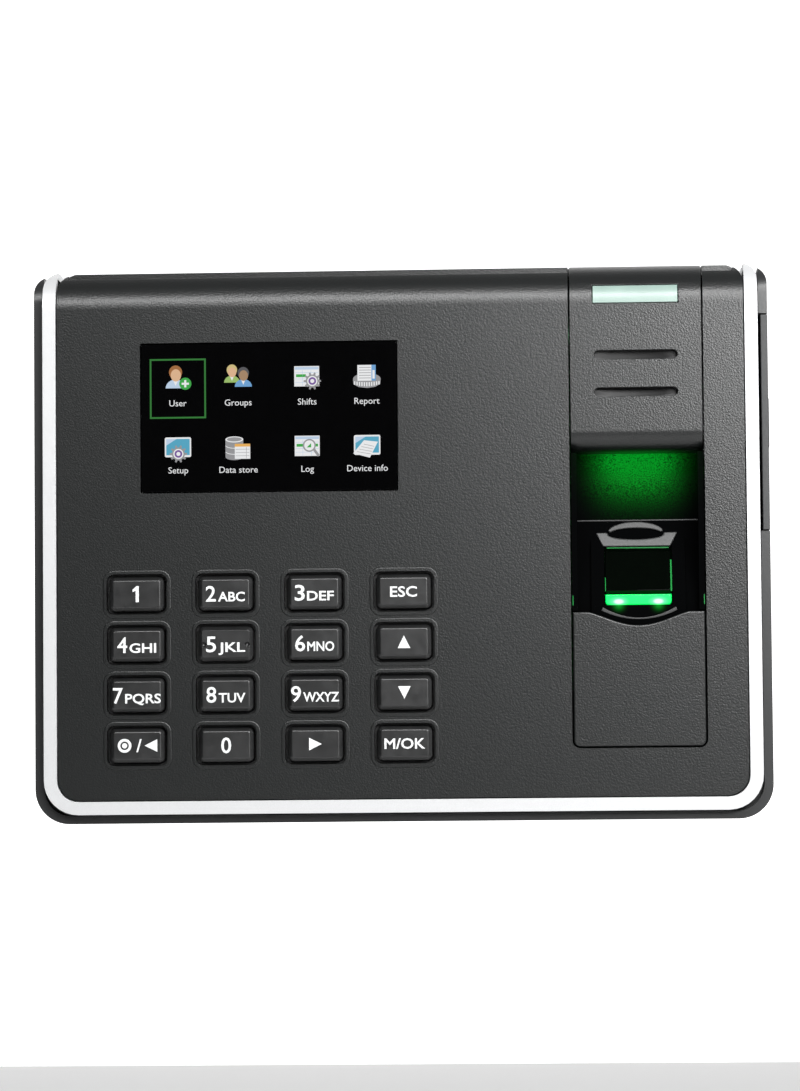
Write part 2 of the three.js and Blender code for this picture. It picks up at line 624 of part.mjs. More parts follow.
function lowerPanel() {
  const left = columnX - columnHalf;
  const right = columnX + columnHalf;
  const chord = PANEL_DIP_CHORD / 2;
  const radius = (chord * chord + PANEL_DIP * PANEL_DIP) / (2 * PANEL_DIP);
  const centre = panelTop - PANEL_DIP + radius;
  const spread = Math.asin(chord / radius);
  const plan = new THREE.Shape();
  plan.moveTo(left, panelTop);
  plan.lineTo(left, panelBottom + PANEL_CORNER);
  plan.absarc(left + PANEL_CORNER, panelBottom + PANEL_CORNER, PANEL_CORNER, Math.PI, 1.5 * Math.PI);
  plan.absarc(right - PANEL_CORNER, panelBottom + PANEL_CORNER, PANEL_CORNER, 1.5 * Math.PI, 2 * Math.PI);
  plan.lineTo(right, panelTop);
  plan.absarc(columnX, centre, radius, 1.5 * Math.PI + spread, 1.5 * Math.PI - spread, true);
  const plate = alongY(plan, face + 0.1, face + FASCIA_WALL, 8);
  const flangeTop = panelTop - PANEL_FLANGE_DROP;
  const flangeFace = inside + FIT;
  const block = box(left + OVERLAP, right - OVERLAP, face + OVERLAP, inside + OVERLAP,
    panelBottom + PANEL_CORNER, flangeTop - OVERLAP);
  const flange = box(left - SEAM - PANEL_FLANGE, right + SEAM + PANEL_FLANGE,
    flangeFace, flangeFace + PANEL_FLANGE_THICKNESS, panelBottom - SEAM - PANEL_FLANGE, flangeTop);
  return join(plate, block, flange);
}

// ---- Rear assembly ----
const doorRecessFront = backInside - DOOR_FROM_BACK; // rear end of the recess for the port cover
const doorHingeY = doorRecessFront - FIT - DOOR_STRIP - FIT / 2;
const doorInner = half - DOOR_THICKNESS;
const usbFront = mainBoardFront - FIT - USB_HEIGHT;
const hookPlaces = [-HOOK_X, HOOK_X];
const hookZ = plateTop - HOOK_FROM_TOP;
const lockY = plateRecess - LOCK_FROM_BACK;

function caseOutline() {
  return rounded(-half, half, bottom, top - FIT,
    [CORNER_RADIUS, CORNER_RADIUS, TOP_CORNER_RADIUS, TOP_CORNER_RADIUS]);
}

function rearCase() {
  const outer = common(alongY(caseOutline(), rimFront, -BACK_GAP, 8),
    alongX(rolled(rimFront, 0, -FAR, top - FIT, TOP_ROLL - RIM_SETBACK), -FAR, FAR, 8));
  const seatHalf = trimHalf + FIT;
  const seatCorner = TRIM_CORNER + FIT;
  const seat = alongY(
    rounded(-seatHalf, seatHalf, trimBottom - FIT, FAR, [seatCorner, seatCorner, 0, 0]), -FAR, ledge, 6);
  const topGap = box(-seatHalf, seatHalf, -FAR, trimBack + FIT, trimCoreTop - TOP_ROLL, FAR);
  const room = alongY(
    rounded(-seatHalf + LEDGE_WIDTH, seatHalf - LEDGE_WIDTH,
      trimBottom - FIT + LEDGE_WIDTH, trimCoreTop - 0.8, ROOM_CORNER),
    ledge - OVERLAP, backInside, 4);
  const plateSeat = alongY(
    rounded(-PLATE_WIDTH / 2 - FIT, PLATE_WIDTH / 2 + FIT, plateBottom - FIT, plateTop + FIT,
      PLATE_CORNER + FIT),
    plateRecess, FAR, 4);
  const bayWindow = box(BAY_WINDOW_X - BAY_WINDOW_WIDTH / 2, BAY_WINDOW_X + BAY_WINDOW_WIDTH / 2,
    backInside - OVERLAP, FAR, bayWindowBottom, bayWindowTop);
  const doorSeat = box(trimHalf + FIT - 0.1, FAR, -FAR, doorRecessFront, doorBottom - FIT, doorTop + FIT);
  const usbHole = box(seatHalf - LEDGE_WIDTH - OVERLAP, FAR, usbFront - FIT, usbFront + USB_HEIGHT + FIT,
    usbZ - USB_WIDTH / 2 - FIT, usbZ + USB_WIDTH / 2 + FIT);
  const bosses = caseScrewPlaces.map(({ x, z }) => (
    rodY(x, z, REAR_BOSS_RADIUS, bossJoint, backInside + OVERLAP)));
  const bossHoles = caseScrewPlaces.flatMap(({ x, z }) => [
    rodY(x, z, screwHole, -FAR, FAR, 10),
    rodY(x, z, SCREW_HEAD_RADIUS + FIT, headSeat - FIT, FAR),
  ]);
  const posts = boardScrewPlaces.map(({ x, z }) => (
    rodY(x, z, BOARD_POST_RADIUS, backInside - BOARD_STANDOFF, backInside + OVERLAP)));
  const postHoles = boardScrewPlaces.map(({ x, z }) => rodY(x, z, screwHole, -FAR, backInside, 10));
  const hookSlots = hookPlaces.map((x) => box(x - HOOK_SLOT_WIDTH / 2, x + HOOK_SLOT_WIDTH / 2,
    backInside - OVERLAP, FAR, hookZ - 1.2, hookZ + HOOK_HEIGHT + 2 * FIT));
  const tabSlot = box(LOCK_X - LOCK_TAB_WIDTH / 2 - 3 * FIT, LOCK_X + LOCK_TAB_WIDTH / 2 + 3 * FIT,
    backInside - OVERLAP, FAR, plateBottom - FIT, plateBottom + PLATE_THICKNESS + FIT);
  const lockHole = join(
    rodZ(LOCK_X, lockY, screwHole, -FAR, bottom + LOCK_SCREW_LENGTH, 10),
    rodZ(LOCK_X, lockY, SCREW_HEAD_RADIUS + FIT, -FAR, bottom + LOCK_HEAD_RECESS));
  const plungerHole = rodY(TAMPER_X, TAMPER_Z, PLUNGER_RADIUS + FIT, backInside - OVERLAP, FAR);
  return cut(join(cut(outer, seat, topGap, room), ...bosses, ...posts),
    plateSeat, bayWindow, doorSeat, usbHole, ...bossHoles, ...postHoles,
    ...hookSlots, tabSlot, lockHole, plungerHole);
}

function plateSlot(x, z) {
  const plan = rounded(x - PLATE_SLOT_LENGTH / 2, x + PLATE_SLOT_LENGTH / 2,
    z - PLATE_SLOT_WIDTH / 2, z + PLATE_SLOT_WIDTH / 2, PLATE_SLOT_WIDTH / 2 - 0.01);
  return alongY(plan, -FAR, FAR, 3);
}

function wallPlate() {
  const plan = rounded(-PLATE_WIDTH / 2, PLATE_WIDTH / 2, plateBottom, plateTop, PLATE_CORNER);
  const sheet = alongY(plan, -PLATE_THICKNESS, 0, 4);
  const middle = -PLATE_THICKNESS / 2;
  const cableHalf = BAY_WINDOW_WIDTH / 2 - OVERLAP;
  const cableWindow = box(BAY_WINDOW_X - cableHalf, BAY_WINDOW_X + cableHalf,
    -FAR, FAR, bayWindowBottom + OVERLAP, bayWindowTop);
  const slots = [-PLATE_SLOT_X, PLATE_SLOT_X].flatMap((x) => [
    plateSlot(x, plateBottom + PLATE_SLOT_FROM_BOTTOM), plateSlot(x, plateTop - PLATE_SLOT_FROM_TOP)]);
  const hookTip = backInside - HOOK_REACH;
  const hooks = hookPlaces.map((x) => {
    const [left, right] = [x - HOOK_WIDTH / 2, x + HOOK_WIDTH / 2];
    return join(
      box(left, right, hookTip, middle, hookZ, hookZ + PLATE_THICKNESS),
      box(left, right, hookTip, hookTip + PLATE_THICKNESS, hookZ, hookZ + HOOK_HEIGHT));
  });
  const tab = cut(
    box(LOCK_X - LOCK_TAB_WIDTH / 2, LOCK_X + LOCK_TAB_WIDTH / 2,
      lockY - LOCK_TAB_REACH, middle, plateBottom, plateBottom + PLATE_THICKNESS),
    rodZ(LOCK_X, lockY, screwHole, -FAR, FAR, 10));
  return join(cut(sheet, cableWindow, ...slots), ...hooks, tab);
}

function mainBoard() {
  const reach = half - BOARD_MARGIN;
  const ear = trimHalf - BOARD_EAR_GAP;
  const sheet = join(
    box(-reach, reach, mainBoardFront, mainBoardBack, boardBottom, boardTop),
    box(reach - OVERLAP, ear, mainBoardFront, mainBoardBack, usbZ - BOARD_EAR_HALF, usbZ + BOARD_EAR_HALF));
  const holes = boardScrewPlaces.map(({ x, z }) => rodY(x, z, screwHole, -FAR, FAR, 10));
  return cut(sheet, ...holes);
}

const partsFront = mainBoardFront - FIT; // mounting plane of what stands on the main board
const mouth = boardBottom - SOCKET_OVERHANG; // lower end of the sockets over the cable bay

function ethernetJack() {
  const [wide, deep, long] = [16, 13.5, 21];
  const x = BAY_WINDOW_X - 18;
  return cut(
    box(x - wide / 2, x + wide / 2, partsFront - deep, partsFront, mouth, mouth + long),
    box(x - 6, x + 6, partsFront - deep + 2.4, partsFront - 2.6, mouth - 1, mouth + 13),
    box(x - 3, x + 3, partsFront - 4, partsFront - 1.2, mouth - 1, mouth + 13));
}

function powerJack() {
  const x = BAY_WINDOW_X + 2;
  const y = partsFront - 5.5;
  const body = cut(
    box(x - 4.5, x + 4.5, partsFront - 11, partsFront, mouth, mouth + 14),
    rodZ(x, y, 3.2, mouth - 1, mouth + 9.5, 16));
  return join(body, rodZ(x, y, 0.7, mouth + 1, mouth + 10, 8));
}

function terminalBlock() {
  const ways = 5;
  const pitch = 3.8;
  const left = BAY_WINDOW_X + 10.5;
  const holes = Array.from({ length: ways }, (unused, way) => {
    const x = left + 1.9 + pitch * (way + 0.5) - 0.95;
    return join(
      box(x - 1.2, x + 1.2, partsFront - 5.6, partsFront - 2.8, mouth - 1, mouth + 5),
      rodY(x, mouth + 5.6, 1.3, partsFront - 10, partsFront - 5.8, 8));
  });
  return cut(
    box(left, left + pitch * ways + 1.9, partsFront - 8.5, partsFront, mouth, mouth + 9), ...holes);
}

function usbSocket() {
  const right = trimHalf - 0.2;
  const shell = box(right - USB_LENGTH, right, usbFront, usbFront + USB_HEIGHT - FIT,
    usbZ - USB_WIDTH / 2, usbZ + USB_WIDTH / 2);
  const mouth = box(right - USB_LENGTH + 2, right + 1, usbFront + 0.6, usbFront + USB_HEIGHT - FIT - 0.6,
    usbZ - USB_WIDTH / 2 + 0.7, usbZ + USB_WIDTH / 2 - 0.7);
  const tongue = box(right - USB_LENGTH + 1, right - 1.2, usbFront + 0.5, usbFront + 1.5,
    usbZ - 5.5, usbZ + 5.5);
  return join(cut(shell, mouth), tongue);
}

function portCover() {
  const plate = box(doorInner, half, rimFront + 0.1, doorHingeY - FIT / 2, doorBottom, doorTop);
  const plug = box(doorInner - 0.4, doorInner + 1, usbFront + 1.9, usbFront + USB_HEIGHT - FIT - 1,
    usbZ - 5.4, usbZ + 5.4);
  return join(common(plate, alongY(caseOutline(), -FAR, FAR, 8)), plug);
}

function tamperSwitch() {
  const reach = TAMPER_BODY_WIDTH / 2;
  const body = box(TAMPER_X - reach, TAMPER_X + reach, mainBoardBack + FIT, backInside - FIT,
    TAMPER_Z - reach, TAMPER_Z + reach);
  return cut(body, rodY(TAMPER_X, TAMPER_Z, PLUNGER_RADIUS + FIT, mainBoardBack + TAMPER_FLOOR, FAR));
}

function ribbon(x, width, points) {
  const rise = Math.sign(points[points.length - 1][1] - points[0][1]) * RIBBON_THICKNESS;
  const back = points.map(([y, z]) => [y + RIBBON_THICKNESS, z - rise]).reverse();
  return alongX(polygon([...points, ...back]), x - width / 2, x + width / 2);
}

// ---- Assembly ----
place('front_cover', frontCover(), 'grainedBlack');
place('trim_frame', trimFrame(), 'silver');
place('rear_case', rearCase(), 'satinBlack');
place('screen_window', screenWindow(), 'glossBlack');
place('lcd_panel', lcdBox(0, lcdFront, lcdBack), 'darkGlass');
place('lcd_tray', lcdTray(), 'steel');

const keypad = new THREE.Group();
terminal.add(keypad);
const oneKey = toGeometry(keySolid());
keyCentres().forEach(({ name, x, z }) => {
  place(name, oneKey, 'satinBlack', keypad).position.set(x, 0, z);
});
place('keypad_membrane', keypadMembrane(), 'rubber', keypad);
place('keypad_board', keypadSheet(KEY_BOARD_MARGIN, keypadBoardFront, keypadBoardBack),
  'circuitGreen', keypad);

place('sensor_fascia', sensorFascia(), 'grainedBlack');
place('indicator_lens', indicatorLens(), 'mint');
place('indicator_board', box(columnX - COLUMN_BOARD_WIDTH / 2, columnX + COLUMN_BOARD_WIDTH / 2,
  face + LENS_BOARD_DEPTH, face + LENS_BOARD_DEPTH + LENS_BOARD_THICKNESS,
  top - LENS_FROM_TOP - LENS_HEIGHT - 2 * LENS_FLANGE,
  top - LENS_FROM_TOP - LENS_FLANGE_TOP), 'circuitGreen');
place('speaker', speakerCone(), 'satinBlack').position.set(columnX, speakerFront, speakerZ);
place('finger_bay', fingerBay(), 'glossBlack');
place('sensor_prism', sensorPrism(), 'darkGlass');
place('sensor_light_bar', lightBar(), 'greenLight');
place('sensor_module', sensorModule(), 'satinBlack');
place('sensor_board', box(columnX - COLUMN_BOARD_WIDTH / 2, columnX + COLUMN_BOARD_WIDTH / 2,
  moduleBack + FIT, moduleBack + FIT + BOARD_THICKNESS,
  lipBottom - SENSOR_BOARD_TOP_DROP - SENSOR_BOARD_HEIGHT,
  lipBottom - SENSOR_BOARD_TOP_DROP), 'circuitGreen');
place('lower_panel', lowerPanel(), 'grainedBlack');

place('wall_plate', wallPlate(), 'darkSteel');
place('main_board', mainBoard(), 'circuitGreen');
place('ethernet_jack', ethernetJack(), 'steel');
place('power_jack', powerJack(), 'satinBlack');
place('terminal_block', terminalBlock(), 'greyPlastic');
place('usb_socket', usbSocket(), 'steel');
place('port_cover', portCover(), 'rubber');
place('port_cover_strip', box(doorInner, half,
  doorHingeY + FIT / 2, doorRecessFront - FIT, doorBottom, doorTop), 'rubber');
place('tamper_switch', tamperSwitch(), 'satinBlack');
place('tamper_plunger', rodY(TAMPER_X, TAMPER_Z, PLUNGER_RADIUS,
  mainBoardBack + TAMPER_FLOOR + TAMPER_TRAVEL + PLUNGER_SPARE, plateRecess), 'greyPlastic');

const cellX = -half + CELL_FROM_LEFT;
const cellZ = boardTop - CELL_DROP;
const cellFoot = partsFront - 1.2; // rear face of the cell, clear of the holder's floor
place('cell_holder', cut(
  rodY(cellX, cellZ, CELL_RADIUS + 1.6, cellFoot - CELL_THICKNESS + 0.2, partsFront, 24),
  rodY(cellX, cellZ, CELL_RADIUS + FIT, -FAR, cellFoot + FIT, 24)), 'satinBlack');
place('coin_cell', rodY(cellX, cellZ, CELL_RADIUS, cellFoot - CELL_THICKNESS, cellFoot, 24), 'steel');
const buzzerX = half - BUZZER_FROM_RIGHT;
const buzzerZ = boardTop - BUZZER_DROP;
const buzzerFront = partsFront - BUZZER_HEIGHT;
place('buzzer', cut(rodY(buzzerX, buzzerZ, BUZZER_RADIUS, buzzerFront, partsFront, 20),
  rodY(buzzerX, buzzerZ, 1, buzzerFront - OVERLAP, buzzerFront + 2, 8)), 'satinBlack');

const trayBack = lcdBack + FIT + TRAY_SHEET;
place('lcd_ribbon', ribbon(screenLeft + 30, 18, [
  [trayBack + FIT, screenTop - 6], [trayBack + FIT, screenTop - 20],
  [partsFront - 1, screenTop - 30], [partsFront - 1, screenTop - 36],
]), 'ribbon');
place('keypad_ribbon', ribbon(screenLeft + 4, 12, [
  [keypadBoardBack + FIT, bottom + 34], [keypadBoardBack + FIT, bottom + 44],
  [partsFront - 1, bottom + 56], [partsFront - 1, bottom + 62],
]), 'ribbon');

const caseScrew = screw(CASE_SCREW_LENGTH, SCREW_RADIUS, SCREW_HEAD_RADIUS, 1.8);
caseScrewPlaces.forEach(({ x, z }, index) => {
  place(`case_screw_${index + 1}`, caseScrew, 'steel').position.set(x, headSeat, z);
});
// The board screws are driven from the front, so each is turned half round.
const boardScrew = screw(BOARD_SCREW_LENGTH, SCREW_RADIUS, 2.6, 1.6);
boardScrewPlaces.forEach(({ x, z }, index) => {
  const mesh = place(`board_screw_${index + 1}`, boardScrew, 'steel');
  mesh.position.set(x, mainBoardFront - FIT, z);
  mesh.rotation.z = Math.PI;
});
// The lock screw stands upright below the tab of the wall plate.
const lockScrew = place(
  'lock_screw', screw(LOCK_SCREW_LENGTH, SCREW_RADIUS, SCREW_HEAD_RADIUS, 1), 'steel');
lockScrew.position.set(LOCK_X, lockY, bottom + LOCK_HEAD_RECESS - FIT / 2);
lockScrew.rotation.x = -Math.PI / 2;

export default terminal;
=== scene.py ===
"""Looks of a wall-mounted fingerprint scanner terminal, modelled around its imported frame.

The case, trim, keys, sensor column and wall plate are cut and rounded here with mesh operators.
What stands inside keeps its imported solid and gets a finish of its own.
"""
import logging
import math
from dataclasses import dataclass
from enum import Enum

import bmesh
import bpy
from mathutils import Matrix, Vector


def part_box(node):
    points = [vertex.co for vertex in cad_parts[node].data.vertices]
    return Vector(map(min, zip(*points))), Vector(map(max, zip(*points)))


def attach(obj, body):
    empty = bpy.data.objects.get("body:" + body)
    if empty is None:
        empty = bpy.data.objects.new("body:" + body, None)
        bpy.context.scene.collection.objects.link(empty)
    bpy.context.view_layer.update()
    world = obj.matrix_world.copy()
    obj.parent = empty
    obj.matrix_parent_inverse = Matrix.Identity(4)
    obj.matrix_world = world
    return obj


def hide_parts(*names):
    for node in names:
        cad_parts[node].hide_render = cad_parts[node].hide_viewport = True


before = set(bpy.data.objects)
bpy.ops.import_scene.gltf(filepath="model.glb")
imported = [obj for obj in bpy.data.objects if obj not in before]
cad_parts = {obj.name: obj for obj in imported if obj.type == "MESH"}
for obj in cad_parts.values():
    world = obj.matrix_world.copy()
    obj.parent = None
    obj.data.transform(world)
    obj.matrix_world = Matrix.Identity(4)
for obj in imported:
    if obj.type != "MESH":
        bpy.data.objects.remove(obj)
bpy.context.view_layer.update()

LOG = logging.getLogger("terminal")
MM = 0.001
NEAR = 0.02 * MM
SAME_POINT = 0.004 * MM
FAR = 300 * MM
CREASE = math.radians(50)
FLATS_WEIGHT = 90
HOUSING = "housing"


# ---- Measures and solids -------------------------------------------------------------------------
class Axis(Enum):
    """The three axes of the frame."""

    X = 0
    Y = 1
    Z = 2


class Fuse(Enum):
    """How a tool acts on a workpiece."""

    CUT = "DIFFERENCE"
    JOIN = "UNION"
    COMMON = "INTERSECT"


Solid = bmesh.types.BMesh
Piece = bpy.types.Object
Socket = bpy.types.NodeSocket
Span = tuple[float, float]
Colour = tuple[float, float, float]


@dataclass(frozen=True)
class Box:
    """A box in the frame, in metres."""

    low: Vector
    high: Vector

    @classmethod
    def of(cls, node: str) -> "Box":
        """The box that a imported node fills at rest."""
        low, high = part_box(node)
        return cls(low, high)

    @property
    def centre(self) -> Vector:
        """The middle of the box."""
        return (self.low + self.high) / 2

    @property
    def size(self) -> Vector:
        """The box's three lengths."""
        return self.high - self.low

    def span(self, axis: Axis, grown: float = 0.0) -> Span:
        """The box's reach along an axis, grown at both ends."""
        return self.low[axis.value] - grown, self.high[axis.value] + grown


@dataclass(frozen=True)
class EdgeRound:
    """The small rounding that a moulding tool or a press leaves on every sharp edge."""

    radius: float
    segments: int
    angle: float


def block(x: Span, y: Span, z: Span) -> Solid:
    """Makes a box-shaped solid.

    Args:
        x: Its lowest and highest X.
        y: Its lowest and highest Y.
        z: Its lowest and highest Z.

    Returns:
        The solid as a bmesh.
    """
    low, high = Vector((x[0], y[0], z[0])), Vector((x[1], y[1], z[1]))
    solid = bmesh.new()
    bmesh.ops.create_cube(solid, size=1.0)
    bmesh.ops.scale(solid, vec=high - low, verts=solid.verts)
    bmesh.ops.translate(solid, vec=(low + high) / 2, verts=solid.verts)
    return solid


def edges_at(solid: Solid, along: Axis, at: dict[Axis, float]) -> list[bmesh.types.BMEdge]:
    """Finds straight edges by their direction and place.

    Args:
        solid: The solid to search.
        along: The axis that the edges run along.
        at: The value that an edge has on each named axis.

    Returns:
        The edges found.
    """
    found = []
    for edge in solid.edges:
        start, end = (vert.co for vert in edge.verts)
        straight = all(abs(start[i] - end[i]) < NEAR for i in range(3) if i != along.value)
        placed = all(abs(start[axis.value] - value) < NEAR for axis, value in at.items())
        if straight and placed:
            found.append(edge)
    return found


def front_rim(solid: Solid, front: float) -> list[bmesh.types.BMEdge]:
    """Finds the edges that lie in a solid's front plane, given its Y."""
    return [edge for edge in solid.edges
            if all(abs(vert.co.y - front) < NEAR for vert in edge.verts)]


def round_off(solid: Solid, edges: list[bmesh.types.BMEdge], radius: float,
              segments: int = 8) -> None:
    """Rounds edges of a solid.

    Args:
        solid: The solid.
        edges: Its edges to round.
        radius: The radius of the rounding.
        segments: How many flats make up a quarter turn.
    """
    bmesh.ops.bevel(solid, geom=edges, offset=radius, segments=segments, profile=0.5,
                    affect="EDGES", material=-1, clamp_overlap=True)


def slab(x: Span, y: Span, z: Span, corner: float, upper_corner: float | None = None,
         segments: int = 8) -> Solid:
    """Makes a plate that faces the front, with rounded corners.

    Args:
        x: Its lowest and highest X.
        y: Its front and back.
        z: Its lowest and highest Z.
        corner: The radius of its lower corners.
        upper_corner: The radius of its upper corners, when it differs.
        segments: How many flats make up each corner.

    Returns:
        The plate as a bmesh.
    """
    plate = block(x, y, z)
    upper = corner if upper_corner is None else upper_corner
    for height, radius in ((z[0], corner), (z[1], upper)):
        if radius > NEAR:
            round_off(plate, edges_at(plate, Axis.Y, {Axis.Z: height}), radius, segments)
    return plate


def rod(centre: Vector, radius: float, length: float, sides: int) -> Solid:
    """Makes a round rod that lies along Y.

    Args:
        centre: Its middle.
        radius: Its radius.
        length: Its length.
        sides: The number of its flats.

    Returns:
        The rod as a bmesh.
    """
    solid = bmesh.new()
    bmesh.ops.create_cone(solid, cap_ends=True, segments=sides, radius1=radius, radius2=radius,
                          depth=length)
    bmesh.ops.rotate(solid, matrix=Matrix.Rotation(-math.pi / 2, 3, "X"), verts=solid.verts)
    bmesh.ops.translate(solid, vec=centre, verts=solid.verts)
    return solid


def bar(axis: Axis, outline: list[Span], start: float, end: float) -> Solid:
    """Makes a straight bar from its outline.

    Args:
        axis: The axis that the bar lies along.
        outline: The corners of its section, each as its places on the other two axes in X, Y, Z order.
        start: Where the bar starts on its axis.
        end: Where it ends.

    Returns:
        The bar as a bmesh.
    """
    solid = bmesh.new()
    others = [i for i in range(3) if i != axis.value]
    corners = []
    for pair in outline:
        place = Vector((0.0, 0.0, 0.0))
        place[axis.value] = start
        place[others[0]], place[others[1]] = pair
        corners.append(solid.verts.new(place))
    face = solid.faces.new(corners)
    grown = bmesh.ops.extrude_face_region(solid, geom=[face])
    shift = Vector((0.0, 0.0, 0.0))
    shift[axis.value] = end - start
    moved = [item for item in grown["geom"] if isinstance(item, bmesh.types.BMVert)]
    bmesh.ops.translate(solid, vec=shift, verts=moved)
    open_edges = [edge for edge in solid.edges if len(edge.link_faces) == 1]
    if open_edges:
        bmesh.ops.contextual_create(solid, geom=open_edges)
    bmesh.ops.recalc_face_normals(solid, faces=solid.faces)
    return solid


def merged(solids: list[Solid]) -> Solid:
    """Puts several solids into one bmesh, without joining their surfaces."""
    total = bmesh.new()
    for solid in solids:
        mesh = bpy.data.meshes.new("part")
        solid.to_mesh(mesh)
        solid.free()
        total.from_mesh(mesh)
        bpy.data.meshes.remove(mesh)
    return total


def welded_copy(node: str) -> Solid:
    """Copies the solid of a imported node, with its doubled corners welded."""
    solid = bmesh.new()
    solid.from_mesh(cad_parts[node].data)
    bmesh.ops.remove_doubles(solid, verts=solid.verts, dist=SAME_POINT)
    return solid


def to_object(solid: Solid, name: str) -> Piece:
    """Turns a bmesh into an object in the scene."""
    mesh = bpy.data.meshes.new(name)
    solid.to_mesh(mesh)
    solid.free()
    made = bpy.data.objects.new(name, mesh)
    bpy.context.scene.collection.objects.link(made)
    return made


class Workpiece:
    """A solid on the bench, shaped by cuts and joins and then finished."""

    def __init__(self, name: str, solid: Solid) -> None:
        """Starts from a first solid."""
        self.made = to_object(solid, name)

    def _apply(self, tool: Solid, how: Fuse) -> "Workpiece":
        """Runs one cut or join and keeps its result."""
        other = to_object(tool, "tool")
        modifier = self.made.modifiers.new("fuse", "BOOLEAN")
        modifier.operation = how.value
        modifier.solver = "EXACT"
        modifier.object = other
        bpy.context.view_layer.update()
        depsgraph = bpy.context.evaluated_depsgraph_get()
        result = bpy.data.meshes.new_from_object(self.made.evaluated_get(depsgraph))
        spent = (self.made.data, other.data)
        self.made.modifiers.clear()
        self.made.data = result
        result.name = self.made.name
        bpy.data.objects.remove(other)
        for mesh in spent:
            bpy.data.meshes.remove(mesh)
        return self

    def cut(self, tool: Solid) -> "Workpiece":
        """Takes a tool away from the solid."""
        return self._apply(tool, Fuse.CUT)

    def join(self, tool: Solid) -> "Workpiece":
        """Adds a tool to the solid."""
        return self._apply(tool, Fuse.JOIN)

    def keep_common(self, tool: Solid) -> "Workpiece":
        """Keeps only what the solid shares with a tool."""
        return self._apply(tool, Fuse.COMMON)

    def taken(self) -> Solid:
        """Gives the solid back as a bmesh, and clears the bench."""
        solid = bmesh.new()
        solid.from_mesh(self.made.data)
        bpy.data.meshes.remove(self.made.data)
        return solid

    def done(self, finish: "Finish", rounding: EdgeRound) -> Piece:
        """Rounds the edges, shades and dresses the solid.

        Args:
            finish: The finish of its surface.
            rounding: The rounding of its sharp edges.

        Returns:
            The finished object.
        """
        mesh = self.made.data
        solid = bmesh.new()
        solid.from_mesh(mesh)
        bmesh.ops.remove_doubles(solid, verts=solid.verts, dist=0.002 * MM)
        bmesh.ops.dissolve_degenerate(solid, edges=solid.edges, dist=SAME_POINT)
        solid.to_mesh(mesh)
        solid.free()
        bevel = self.made.modifiers.new("rounding", "BEVEL")
        bevel.width, bevel.segments = rounding.radius, rounding.segments
        bevel.limit_method, bevel.angle_limit = "ANGLE", math.radians(rounding.angle)
        bevel.use_clamp_overlap = True
        bevel.harden_normals = False
        return shade(self.made, finish)


def shade(made: Piece, finish: "Finish") -> Piece:
    """Smooths a mesh where it is curved, keeps its flats flat, and gives it one finish."""
    made.data.shade_smooth()
    made.data.set_sharp_from_angle(angle=CREASE)
    weighted = made.modifiers.new("flats", "WEIGHTED_NORMAL")
    weighted.keep_sharp = True
    weighted.weight = FLATS_WEIGHT
    made.data.materials.clear()
    made.data.materials.append(finish.material())
    return made


def settle(made: Piece, body: str = HOUSING,
           nodes: tuple[str, ...] = ()) -> None:
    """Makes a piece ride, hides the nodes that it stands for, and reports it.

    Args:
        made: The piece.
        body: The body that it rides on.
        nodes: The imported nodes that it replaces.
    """
    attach(made, body)
    if nodes:
        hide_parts(*nodes)
    LOG.info("%s: %d faces, rides on %s", made.name, len(made.data.polygons), body)


